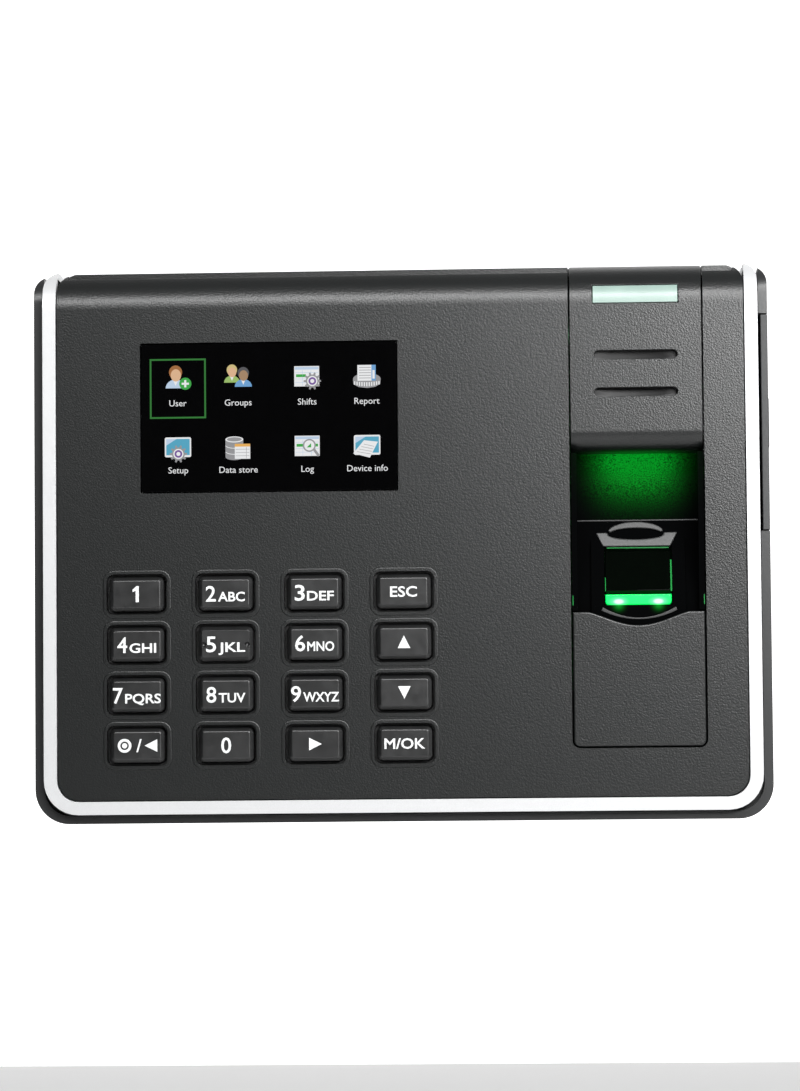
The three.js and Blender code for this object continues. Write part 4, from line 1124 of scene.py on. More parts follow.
class KeyGrid:
    """Sixteen hard keys, four rows of four, each with its print."""

    flange = 1.3 * MM
    flange_front = -33.7 * MM
    clearance = 0.75 * MM
    hole_corner = 1.8 * MM
    corner = 1.35 * MM
    bevel = 0.95 * MM
    middle_key = (2, 2)
    dimple_radius = 0.6 * MM
    dimple_reach = 5.35 * MM
    dimple_drop = 0.2 * MM
    digits = {(1, 2): "2ABC", (1, 3): "3DEF", (2, 1): "4GHI", (2, 2): "5JKL", (2, 3): "6MNO",
              (3, 1): "7PQRS", (3, 2): "8TUV", (3, 3): "9WXYZ", (1, 1): "1", (4, 2): "0"}
    words = {(1, 4): ("ESC", 6.6 * MM), (4, 4): ("M/OK", 10.0 * MM)}
    arrows = {(2, 4): Point.UP, (3, 4): Point.DOWN, (4, 3): Point.RIGHT}

    def __init__(self, legend: LegendSize) -> None:
        """Reads the place of every key."""
        self.legend = legend
        self.boxes = {(row, column): Box.of(f"key_{row}_{column}")
                      for row in range(1, 5) for column in range(1, 5)}

    def cap(self, box: Box) -> Box:
        """The box of a key's cap without the flange behind it."""
        inset = Vector((self.flange, 0, self.flange))
        return Box(box.low + inset, box.high - inset)

    def build(self) -> None:
        """Builds every key and its print."""
        for place, box in self.boxes.items():
            body = "key_{}_{}".format(*place)
            settle(self._key(body, place, box), body, (body,))
            settle(self._print(place, box), body)

    def _key(self, name: str, place: tuple[int, int], box: Box) -> Piece:
        """Builds one key: a cap with sloping sides on a flange."""
        cap = self.cap(box)
        crown = slab(cap.span(Axis.X), (box.low.y, self.flange_front + 0.2 * MM), cap.span(Axis.Z),
                     self.corner, segments=4)
        round_off(crown, front_rim(crown, box.low.y), self.bevel, 1)
        if place == self.middle_key:
            crown = self._dimpled(crown, cap, box.low.y)
        key = Workpiece(f"{name}_skin", crown)
        key.join(block(box.span(Axis.X), (self.flange_front, box.high.y), box.span(Axis.Z)))
        return key.done(KEY_BLACK, EdgeRound(0.22 * MM, 3, 30))

    def _dimpled(self, crown: Solid, cap: Box, front: float) -> Solid:
        """Cuts the two finding dimples of the middle key."""
        key = Workpiece("blank", crown)
        for side in (-1, 1):
            ball = bmesh.new()
            bmesh.ops.create_uvsphere(ball, u_segments=16, v_segments=10, radius=self.dimple_radius)
            key.cut(moved(ball, cap.centre.x + side * self.dimple_reach, front,
                          cap.centre.z - self.dimple_drop))
        return key.taken()

    def _print(self, place: tuple[int, int], box: Box) -> Piece:
        """Builds the print of one key."""
        legend = Legend(self.legend, box.centre.x, box.low.y, box.centre.z)
        if place in self.digits:
            digit, *letters = self.digits[place]
            legend.digit(digit, "".join(letters))
        elif place in self.words:
            legend.word(*self.words[place])
        elif place in self.arrows:
            legend.arrow(self.arrows[place])
        else:
            legend.target(-3.1 * MM)
            legend.slash(0.45 * MM)
            legend.arrow(Point.LEFT, 3.4 * MM)
        name = "legend_{}_{}".format(*place)
        return shade(to_object(merged(legend.solids), name), PRINT_WHITE)


# ---- Screen --------------------------------------------------------------------------------------
class Tint(Enum):
    """The colours of the lit display."""

    WHITE = (0.92, 0.93, 0.94)
    PALE = (0.56, 0.70, 0.88)
    GREEN = (0.05, 0.42, 0.07)
    FRAME = (0.03, 0.20, 0.035)
    LIME = (0.36, 0.56, 0.16)
    BLUE = (0.17, 0.40, 0.72)
    CYAN = (0.10, 0.42, 0.60)
    GREY = (0.34, 0.34, 0.35)
    DARK = (0.10, 0.10, 0.11)
    BROWN = (0.40, 0.16, 0.05)
    SKIN = (0.80, 0.50, 0.30)
    TAN = (0.42, 0.26, 0.15)
    BLOND = (0.68, 0.55, 0.24)
    VIOLET = (0.20, 0.10, 0.36)
    ORANGE = (0.90, 0.48, 0.12)


class Display:
    """The lit display: icons and words laid as thin layers of colour on the window."""

    columns = (9.05 * MM, 23.95 * MM, 41.0 * MM, 55.75 * MM)
    icon_rows = (8.45 * MM, 25.65 * MM)
    word_rows = (14.55 * MM, 31.15 * MM)
    word_height = 1.62 * MM
    word_thickness = 0.096 * MM
    layer = 0.012 * MM
    rooted = 0.2 * MM
    roughness = 0.4
    strength = 0.85

    def __init__(self) -> None:
        """Reads the place of the window."""
        self.box = Box.of("screen_window")
        self.solids: dict[Tint, list[Solid]] = {}
        self.x = self.z = 0.0

    def build(self) -> None:
        """Builds the window, the icons and the words."""
        window = Workpiece("screen_window_skin", slab(
            self.box.span(Axis.X), self.box.span(Axis.Y), self.box.span(Axis.Z), 0.4 * MM, segments=3))
        settle(window.done(SCREEN_BLACK, EdgeRound(0.15 * MM, 2, 40)),
               nodes=("screen_window",))
        menu = {"User": self._person_and_plus, "Groups": self._two_people,
                "Shifts": self._table_and_gear, "Report": self._report_tray,
                "Setup": self._monitor_and_gear, "Data store": self._drums_and_list,
                "Log": self._table_and_glass, "Device info": self._monitor_and_sheet}
        for index, (name, draw) in enumerate(menu.items()):
            row, column = divmod(index, len(self.columns))
            self.x = self.box.low.x + self.columns[column]
            self.z = self.box.high.z - self.icon_rows[row]
            draw()
            base = self.box.high.z - self.word_rows[row] - self.word_height / 2
            words = lettering(name, self.word_height, 0.0, self.word_thickness)
            self._add(Tint.WHITE, centred(words, self.x, self.box.low.y, base))
        self._selection_frame()
        for tint, solids in self.solids.items():
            name = f"display_{tint.name.lower()}"
            light = ScreenLight(name, "screen_gloss", tint.value, self.roughness, self.strength)
            settle(shade(to_object(merged(solids), name), light))

    def _depth(self, layer: int) -> Span:
        """The front and back of a layer: higher layers stand further out."""
        front = self.box.low.y
        return front - self.layer * (layer + 1), front + self.rooted

    def _add(self, tint: Tint, solid: Solid) -> None:
        """Keeps a solid under its colour."""
        self.solids.setdefault(tint, []).append(solid)

    def _tile(self, tint: Tint, left: float, right: float, low: float, high: float, layer: int,
              corner: float = 0.0) -> None:
        """Lays a rectangle, in millimetres from the icon's middle."""
        self._add(tint, slab((self.x + left * MM, self.x + right * MM), self._depth(layer),
                             (self.z + low * MM, self.z + high * MM), corner * MM, segments=3))

    def _rows(self, tint: Tint, left: float, right: float, lows: tuple[float, ...], layer: int,
              high: float = 0.1) -> None:
        """Lays level lines, each at its own height."""
        for low in lows:
            self._tile(tint, left, right, low, low + high, layer)

    def _disc(self, tint: Tint, x: float, z: float, radius: float, layer: int,
              high: float = 1.0) -> None:
        """Lays a disc, or an oval when high isn't 1."""
        front, back = self._depth(layer)
        middle = Vector((self.x + x * MM, (front + back) / 2, self.z + z * MM))
        disc = rod(middle, radius * MM, back - front, 28)
        bmesh.ops.scale(disc, vec=(1, 1, high), space=Matrix.Translation(-middle), verts=disc.verts)
        self._add(tint, disc)

    def _shape(self, tint: Tint, corners: list[Span], layer: int) -> None:
        """Lays a polygon."""
        placed = [(self.x + x * MM, self.z + z * MM) for x, z in corners]
        self._add(tint, bar(Axis.Y, placed, *self._depth(layer)))

    def _selection_frame(self) -> None:
        """Lays the green frame round the chosen icon."""
        self.x = self.box.low.x + self.columns[0]
        self.z = self.box.high.z - (self.icon_rows[0] + self.word_rows[0]) / 2 + 0.5 * MM
        wide, high, line = 6.95, 7.4, 0.42
        for low, top in ((-high, line - high), (high - line, high)):
            self._tile(Tint.FRAME, -wide, wide, low, top, 3)
        for left, right in ((-wide, line - wide), (wide - line, wide)):
            self._tile(Tint.FRAME, left, right, -high, high, 2)

    def _bust(self, x: float, z: float, tints: tuple[Tint, Tint, Tint], scale: float,
              layer: int) -> None:
        """Draws a head and shoulders in the colours of hair, skin and coat."""
        hair, skin, coat = tints
        shoulders = [(x + 1.7 * scale * math.cos(turn), z - 2.1 * scale + 1.5 * scale * math.sin(turn))
                     for turn in (math.pi * step / 12 for step in range(13))]
        self._shape(coat, shoulders, layer)
        self._shape(Tint.WHITE, [(x - 0.45 * scale, z - 0.7 * scale), (x, z - 1.7 * scale),
                                 (x + 0.45 * scale, z - 0.7 * scale)], layer + 1)
        self._disc(hair, x, z + 0.62 * scale, 1.12 * scale, layer + 2, 1.05)
        self._disc(skin, x + 0.05 * scale, z + 0.1 * scale, 0.88 * scale, layer + 3, 1.2)

    def _person_and_plus(self) -> None:
        """One person and a green plus badge."""
        self._bust(-0.55, 0.6, (Tint.BROWN, Tint.SKIN, Tint.PALE), 1.45, 0)
        self._disc(Tint.GREEN, 1.85, -1.35, 1.5, 6)
        self._tile(Tint.WHITE, 0.95, 2.75, -1.6, -1.1, 7)
        self._tile(Tint.WHITE, 1.6, 2.1, -2.25, -0.45, 7)

    def _two_people(self) -> None:
        """Two people, one in front of the other."""
        self._bust(-1.5, 1.2, (Tint.BLOND, Tint.SKIN, Tint.LIME), 1.15, 0)
        self._bust(1.3, 0.35, (Tint.DARK, Tint.TAN, Tint.BLUE), 1.25, 5)

    def _table(self) -> None:
        """A sheet of rows with two marked cells."""
        self._tile(Tint.WHITE, -3.15, 3.0, -2.4, 2.6, 0)
        self._tile(Tint.PALE, -3.0, 2.85, 1.75, 2.4, 1)
        self._tile(Tint.GREEN, -2.7, -0.3, -0.1, 0.6, 1)
        self._rows(Tint.PALE, -2.9, 2.8, (-1.5, -0.6, 0.95), 1)
        for line in (-1.2, 0.9):
            self._tile(Tint.PALE, line, line + 0.1, -2.3, 1.6, 1)

    def _gear(self, x: float, z: float, layer: int) -> None:
        """A toothed wheel with a violet hub."""
        teeth, tooth = 10, [(1.3, -0.32), (2.15, -0.2), (2.15, 0.2), (1.3, 0.32)]
        for number in range(teeth):
            corners = turned(tooth, math.tau * number / teeth)
            self._shape(Tint.GREY, [(x + a, z + b) for a, b in corners], layer)
        rings = ((Tint.GREY, 1.6), (Tint.WHITE, 1.25), (Tint.VIOLET, 0.95), (Tint.WHITE, 0.5))
        for above, (tint, radius) in enumerate(rings):
            self._disc(tint, x, z, radius, layer + above)

    def _table_and_gear(self) -> None:
        """A table and a gear."""
        self._table()
        self._gear(1.3, -1.1, 3)

    def _report_tray(self) -> None:
        """A lined sheet standing in a round ribbed tray."""
        self._disc(Tint.GREY, 0.0, -0.75, 3.4, 0, 0.42)
        self._tile(Tint.WHITE, -2.3, 2.2, -1.2, 2.7, 1)
        self._rows(Tint.GREY, -1.9, 1.0, (-0.6, 0.05, 0.7, 1.35, 2.0), 2, 0.15)
        self._tile(Tint.BLUE, 1.15, 2.2, -1.2, 2.7, 2)
        self._tile(Tint.WHITE, 1.4, 1.95, -0.7, 1.4, 3)
        self._shape(Tint.GREY, [(-3.4, -0.9), (-3.3, -2.0), (-2.0, -2.75), (0.0, -3.0), (2.0, -2.75),
                                (3.3, -2.0), (3.4, -0.9), (2.0, -1.5), (0.0, -1.7), (-2.0, -1.5)], 4)
        for rib in range(11):
            place = -3.0 + 0.6 * rib
            drop = 0.55 * (1 - (place / 3.4) ** 2)
            self._tile(Tint.WHITE, place - 0.15, place + 0.15, -2.05 - drop, -1.25 - drop * 0.6, 5)

    def _monitor(self) -> None:
        """A screen with a pale frame."""
        self._tile(Tint.WHITE, -3.3, 3.2, -2.3, 2.6, 0, 0.4)
        self._tile(Tint.CYAN, -2.95, 2.85, -1.8, 2.2, 1)
        self._shape(Tint.PALE, [(-2.95, 2.2), (-2.95, 0.6), (-0.4, 2.2)], 2)

    def _monitor_and_gear(self) -> None:
        """A screen and a gear."""
        self._monitor()
        self._gear(0.05, -1.5, 3)

    def _drums_and_list(self) -> None:
        """Three stacked drums and a list."""
        for low, layer in ((-2.4, 0), (-0.9, 3), (0.6, 6)):
            self._disc(Tint.GREY, -1.0, low, 2.2, layer, 0.36)
            self._tile(Tint.GREY, -3.2, 1.2, low, low + 1.25, layer)
            self._disc(Tint.WHITE, -1.0, low + 1.3, 2.2, layer + 1, 0.34)
            self._disc(Tint.GREY, -1.0, low + 1.32, 1.85, layer + 2, 0.28)
        self._tile(Tint.WHITE, -0.9, 2.9, -2.9, 0.8, 10)
        self._tile(Tint.ORANGE, -0.9, 2.9, 0.1, 0.8, 11)
        self._rows(Tint.GREY, -0.7, 2.7, (-2.2, -1.4, -0.6), 11)
        self._tile(Tint.GREY, 1.9, 2.0, -2.8, 0.0, 11)

    def _table_and_glass(self) -> None:
        """A table under a magnifying glass."""
        self._table()
        self._tile(Tint.GREEN, 0.9, 2.6, -0.1, 0.6, 1)
        self._shape(Tint.GREY, [(1.35, -1.0), (1.85, -0.6), (3.0, -2.2), (2.5, -2.6)], 3)
        self._disc(Tint.GREY, 0.45, 0.2, 1.6, 4)
        self._disc(Tint.WHITE, 0.45, 0.2, 1.25, 5)
        self._shape(Tint.GREEN, [(-0.2, -0.3), (0.9, -0.3), (0.9, 0.75)], 6)

    def _monitor_and_sheet(self) -> None:
        """A screen and a slanting sheet of notes."""
        self._monitor()
        self._shape(Tint.WHITE, [(-3.5, -1.9), (-0.8, 1.3), (2.6, 0.9), (0.6, -3.0)], 3)
        for line in range(4):
            rise = 0.62 * line
            left, right = rise * 0.9, rise * 0.45
            self._shape(Tint.GREY, [(-2.6 + left, -1.55 + rise), (-2.55 + left, -1.45 + rise),
                                    (0.85 + right, -2.05 + rise), (0.8 + right, -2.15 + rise)], 4)


# ---- Sensor column -------------------------------------------------------------------------------
@dataclass(frozen=True)
class ColumnSize:
    """Sizes of the sensor column that its packed boxes don't give."""

    wall: float = 2.0 * MM
    roll: float = 10.0 * MM
    lip: float = 5.0 * MM
    lip_back: float = 10.7 * MM
    slot_width: float = 20.4 * MM
    slot_height: float = 2.2 * MM
    slots: tuple[float, ...] = (45.5 * MM, 36.3 * MM)
    side_wall: float = 1.4 * MM
    sheet: float = 1.8 * MM
    nose_half: float = 11.6 * MM
    nose_proud: float = 1.1 * MM
    window_half: float = 8.3 * MM
    window_top: float = -1.5 * MM
    window_foot: float = -15.9 * MM
    dip_chord: float = 24.5 * MM
    dip: float = 3.3 * MM
    lamp_half: float = 4.85 * MM
    lamp_height: float = -15.05 * MM
    # Height and lower edge of the painted glow of the sensor's light on the back wall.
    painted_glow_height: float = 20.0 * MM
    painted_glow_foot: float = 5.6 * MM
    lens_gap: float = 0.15 * MM
    lens_flange: float = 1.3 * MM
    lens_top_flange: float = 0.3 * MM
    lens_sunk: float = 0.25 * MM
    notch_middle: float = -0.5
    relief_back: float = -26.2 * MM


class SensorColumn:
    """The sensor column: fascia, lens, finger bay, optical window, light bar and lower panel."""

    surface = ((-25.0, 23.5), (-25.3, 14.0), (-25.6, 5.4), (-26.8, 5.4), (-27.2, -1.5),
               (-32.9, -12.5), (-33.3, -15.4), (-33.7, -17.2), (-33.8, -22.5))

    def __init__(self, size: ColumnSize) -> None:
        """Reads the places of the column's pieces."""
        self.size = size
        self.fascia = Box.of("sensor_fascia")
        self.lens = Box.of("indicator_lens")
        self.bay = Box.of("finger_bay")
        self.prism = Box.of("sensor_prism")
        self.bar = Box.of("sensor_light_bar")
        self.panel = Box.of("lower_panel")
        self.front = self.fascia.low.y
        self.x = self.fascia.centre.x
        self.left, self.right = self.fascia.low.x, self.fascia.high.x

    def build(self) -> None:
        """Builds every piece of the column."""
        settle(self._fascia(), nodes=("sensor_fascia",))
        settle(self._lens(), nodes=("indicator_lens",))
        size = self.size
        lamps = (self.x - size.lamp_half, self.x + size.lamp_half)
        # The bay and its nose carry painted light: the sensor's green glow on the back wall and glints
        # below the lamps, on black plastic darkened as painted shade.
        painted_glow = PaintedGlowWall("bay_wall_glow", "bay_gloss", BAY_BLACK_AND_SHADE, 0.3, shine=0.0,
                           centre=(self.x, size.painted_glow_height), floor=size.painted_glow_foot,
                           painted_glints=tuple((lamp, size.window_foot) for lamp in lamps))
        settle(self._bay(painted_glow), nodes=("finger_bay",))
        settle(self._nose(painted_glow))
        settle(self._surround())
        settle(self._arch())
        settle(self._ledge_edge())
        settle(self._foot_ridge())
        settle(self._prism(), nodes=("sensor_prism",))
        settle(self._edge_light())
        light = LightGuide("light_bar_green", "green_light", (0.0, 0.62, 0.08), 0.25,
                           lamps=lamps, height=size.lamp_height)
        settle(self._light_bar(light), nodes=("sensor_light_bar",))
        settle(self._panel(), nodes=("lower_panel",))

    def _fascia_line(self, inset: float, steps: int = 12) -> list[Span]:
        """A line along the fascia in Y and Z, from its top to the end of its lip.

        Args:
            inset: How deep the line lies under the fascia's surface.
            steps: How many flats make up each of its two bends.

        Returns:
            The line's corners.
        """
        size, front, top, low = self.size, self.front, self.fascia.high.z, self.fascia.low.z
        lip_back = front + size.lip_back
        turns = [math.pi / 2 * step / steps for step in range(steps + 1)]
        roll, lip = size.roll - inset, size.lip - inset
        return [(max(self.fascia.high.y, lip_back), top - inset),
                *((front + size.roll - roll * math.sin(turn), top - size.roll + roll * math.cos(turn))
                  for turn in turns),
                *((front + size.lip - lip * math.cos(turn), low + size.lip - lip * math.sin(turn))
                  for turn in turns),
                (lip_back, low + inset)]

    def _fascia(self) -> Piece:
        """The grained plate with its lens opening and sound slots."""
        size = self.size
        section = self._fascia_line(0.0) + self._fascia_line(size.wall)[::-1]
        plate = Workpiece("sensor_fascia_skin", bar(Axis.X, section, self.left, self.right))
        lens, through = self._lens_face(), (-FAR, self.front + size.roll)
        plate.cut(block(lens.span(Axis.X, size.lens_gap), through, lens.span(Axis.Z, size.lens_gap)))
        half, high = size.slot_width / 2, size.slot_height / 2
        for height in size.slots:
            plate.cut(slab((self.x - half, self.x + half), through, (height - high, height + high),
                           high - NEAR))
        return plate.done(GRAINED, EdgeRound(0.35 * MM, 3, 40))

    def _lens_face(self) -> Box:
        """The lens without the flange behind it."""
        side, top = self.size.lens_flange, self.size.lens_top_flange
        return Box(self.lens.low + Vector((side, 0, side)), self.lens.high - Vector((side, 0, top)))

    def _lens(self) -> Piece:
        """The lens: a slice of the rolled surface, with softly rounded edges."""
        face, sunk, deep = self._lens_face(), self.size.lens_sunk, 5 * MM
        profile = profile_rolled(self.front + sunk, self.lens.high.y, face.low.z - deep,
                                 self.fascia.high.z - sunk, self.size.roll, 24)
        lens = Workpiece("indicator_lens_skin", bar(Axis.X, profile, *face.span(Axis.X)))
        lens.keep_common(block(face.span(Axis.X), (-FAR, face.low.y + deep), face.span(Axis.Z)))
        return lens.done(MINT, EdgeRound(0.3 * MM, 3, 40))

    def _line(self, proud: float = 0.0, first: int = 0) -> list[Span]:
        """The bay's front surface in Y and Z, standing a little proud."""
        return [(y * MM - proud, z * MM) for y, z in self.surface[first:]]

    def _slope(self) -> list[Span]:
        """The upper and lower end of the bay's slope, in Y and Z."""
        return self._line(first=4)[:2]

    def _opening(self, front: float, foot: float, top: float) -> Solid:
        """A tool that opens the slope for the optical window."""
        half = self.size.window_half
        return block((self.x - half, self.x + half), (front, FAR), (foot, top))

    def _bay(self, finish: Finish) -> Piece:
        """The bay's back wall, ledge, slope and side walls."""
        size, line, drop = self.size, self._line(), 1.2 * MM
        rear = [(y + size.sheet, z if index in (0, len(line) - 1) else z - drop)
                for index, (y, z) in enumerate(line)]
        bay = Workpiece("finger_bay_skin", bar(Axis.X, line + rear[::-1], self.left, self.right))
        top, foot = self.fascia.low.z - 0.4 * MM, self.panel.high.z + 0.3 * MM
        edge, foot_back = self.front + 0.2 * MM, self.front + 2.4 * MM
        side = [(edge, top), (rear[0][0], top), *rear[1:-1], (foot_back, foot), (edge, foot)]
        side = [point for point in side if point[1] >= foot - NEAR]
        for left in (self.left, self.right - size.side_wall):
            bay.join(bar(Axis.X, side, left, left + size.side_wall))
        bay.cut(self._opening(self.front + MM, size.window_foot, size.window_top))
        return bay.done(finish, EdgeRound(0.22 * MM, 2, 25))

    def _nose(self, finish: Finish) -> Piece:
        """The raised block that carries the optical window between two side channels."""
        size, sunk, top = self.size, 0.6 * MM, 0.9 * MM
        front = self._line(size.nose_proud, 4)
        rear = [(y + size.nose_proud + sunk, z) for y, z in front]
        section = [(self.surface[4][0] * MM, top), *front, *rear[::-1]]
        nose = Workpiece("bay_nose", bar(Axis.X, section, self.x - size.nose_half,
                                         self.x + size.nose_half))
        nose.cut(self._opening(self.front + 0.2 * MM, size.window_foot - 0.1 * MM, 0.3 * MM))
        return nose.done(finish, EdgeRound(0.7 * MM, 4, 25))

    def _relief(self, name: str, outline: list[Span], tilt: float, level: float, back: float,
                rounding: float, finish: Finish) -> Piece:
        """A low relief on the bay whose face leans back towards its top.

        Args:
            name: The piece's name.
            outline: Its corners, as millimetres from the column's middle in X, and Z in millimetres.
            tilt: How far its face leans back over its height, per millimetre.
            level: Y of its face at Z = 0.
            back: Y of its back.
            rounding: The radius of its edges.
            finish: Its finish.

        Returns:
            The relief.
        """
        solid = bar(Axis.Y, [(self.x + x * MM, z * MM) for x, z in outline], level, back)
        for vert in solid.verts:
            if vert.co.y < (level + back) / 2:
                vert.co.y = level + vert.co.z * tilt
        return Workpiece(name, solid).done(finish, EdgeRound(rounding, 3, 30))

    def _surround(self) -> Piece:
        """The sloping band along the top of the window, grey plastic made pale as a painted highlight,
        with the notch's foot cut into it.
        """
        middle, top, foot, half, steps = self.size.notch_middle, 2.3, -1.15, 7.0, 16
        notch = [(middle + half * math.cos(turn), top - 1.75 * math.sin(turn) ** 0.7)
                 for turn in (math.pi * step / steps for step in range(steps + 1))]
        outline = [(-10.3, top), (-8.6, foot), (8.0, foot), (9.8, top), *notch]
        return self._relief("window_surround", outline, 0.42, -28.1 * MM, self.size.relief_back,
                            0.4 * MM, SURROUND_GREY_AND_HIGHLIGHT)

    def _arch(self) -> Piece:
        """The crescent at the top of the notch: a grey piece that paints the highlight in the notch's
        upper arch.
        """
        middle, steps, start, share = self.size.notch_middle, 16, 0.06, 0.88
        outer, inner = ([(middle - half * math.cos(turn), foot + high * math.sin(turn))
                         for turn in (math.pi * (start + share * step / steps)
                                      for step in range(steps + 1))]
                        for half, foot, high in ((7.0, 2.2, 2.75), (6.3, 2.0, 1.35)))
        return self._relief("notch_arch", outer + inner[::-1], 0.1, -27.75 * MM,
                            self.size.relief_back, 0.25 * MM, PAINTED_HIGHLIGHT_GREY)

    def _ledge_edge(self) -> Piece:
        """The fine edge where the back wall meets the ledge, as a grey strip that paints its
        highlight.
        """
        y, z = (value * MM for value in self.surface[3])
        inset = 1.2 * MM
        edge = Workpiece("bay_ledge_edge", block(
            (self.left + inset, self.right - inset), (y - 0.3 * MM, y + 0.5 * MM),
            (z - 0.3 * MM, z + 0.08 * MM)))
        return edge.done(PAINTED_HIGHLIGHT_GREY, EdgeRound(0.15 * MM, 3, 40))

    def _foot_ridge(self) -> Piece:
        """The curved ridge between the light bar and the dip of the lower panel, grey to paint the
        highlight along it.
        """
        radius, half, steps, middle, height = 20.6, 9.3, 24, 0.15, 1.2
        spread = math.asin(half / radius)
        outer, inner = [], []
        for step in range(steps + 1):
            turn = -spread + 2 * spread * step / steps
            thick = 0.32 + 0.5 * abs(turn / spread) ** 1.6
            for line, reach in ((outer, radius + 0.1), (inner, radius - thick)):
                line.append((middle + reach * math.sin(turn), height - reach * math.cos(turn)))
        return self._relief("foot_ridge", outer + inner[::-1], 0.0, -35.0 * MM, -32.6 * MM, 0.14 * MM,
                            PAINTED_HIGHLIGHT_GREY)

    def _prism(self) -> Piece:
        """The dark optical window."""
        (y_top, z_top), (y_foot, z_foot) = self._slope()
        slope, thick = math.atan2(y_top - y_foot, z_top - z_foot), 4.6 * MM
        behind = Vector((math.cos(slope), -math.sin(slope))) * thick
        z_top, z_foot = z_top - 0.3 * MM, z_foot + 0.15 * MM
        outline = [(y_top, z_top), (y_foot, z_foot), (y_foot + behind.x, z_foot + behind.y),
                   (y_top + behind.x, z_top + behind.y)]
        glass = Workpiece("sensor_prism_skin", bar(Axis.X, outline, *self.prism.span(Axis.X)))
        return glass.done(PRISM, EdgeRound(0.15 * MM, 2, 40))

    def _edge_light(self) -> Piece:
        """Painted light: the thin lit edges of the window and the glints on the walls beside it, as
        strips that glow green.
        """
        (y_top, z_top), (y_foot, z_foot) = self._slope()
        lean = (y_top - y_foot) / (z_top - z_foot)
        left, right = self.prism.span(Axis.X, -0.02 * MM)
        strips = [block(self.prism.span(Axis.X, -0.5 * MM), (y_top - 0.12 * MM, y_top + 0.4 * MM),
                        (z_top - 0.1 * MM, z_top + 0.14 * MM))]
        for x, high, wide in ((right, -4.6 * MM, 0.34 * MM), (left, -9.0 * MM, 0.14 * MM)):
            y_high = y_foot + (high - z_foot) * lean
            section = [(y_foot - 0.25 * MM, z_foot), (y_high - 0.05 * MM, high),
                       (y_high + 0.3 * MM, high), (y_foot + 0.4 * MM, z_foot)]
            strips.append(bar(Axis.X, section, x - wide / 2, x + wide / 2))
        # Painted glints of the light bar's green light on the bay's side walls.
        for x in (self.left + 0.1 * MM, self.right - 0.22 * MM):
            strips.append(block((x, x + 0.12 * MM), (self.front + 0.05 * MM, self.front + 0.6 * MM),
                                (-16.0 * MM, -13.6 * MM)))
        return shade(to_object(merged(strips), "window_edge_light"), EDGE_LIGHT)

    def _light_bar(self, finish: Finish) -> Piece:
        """The lit strip at the foot of the window."""
        box = self.bar
        strip = Workpiece("sensor_light_bar_skin", slab(
            box.span(Axis.X), (box.low.y - 0.15 * MM, box.high.y),
            (box.low.z - 0.55 * MM, box.high.z - 0.6 * MM), 0.9 * MM, 0.2 * MM))
        return strip.done(finish, EdgeRound(0.25 * MM, 3, 40))

    def _panel(self) -> Piece:
        """The grained panel whose upper edge dips in the middle."""
        size, box, steps, fullness = self.size, self.panel, 32, 1.25
        low, top, chord = box.low.z + CaseSize.panel_flange, box.high.z, size.dip_chord / 2
        outline = [(self.left, low), (self.left, top)]
        for step in range(steps + 1):
            share = -1 + 2 * step / steps
            drop = size.dip * math.cos(math.pi * share * 0.5) ** fullness
            outline.append((self.x + share * chord, top - drop))
        outline += [(self.right, top), (self.right, low)]
        plate = bar(Axis.Y, outline, self.front + 0.1 * MM, self.front + size.wall)
        round_off(plate, edges_at(plate, Axis.Y, {Axis.Z: low}), CaseSize.panel_corner)
        panel = Workpiece("lower_panel_skin", plate)
        panel.join(block((self.left + MM, self.right - MM), (self.front + MM, box.high.y),
                         (low + 2 * MM, top - 7 * MM)))
        return panel.done(GRAINED, EdgeRound(0.55 * MM, 4, 40))


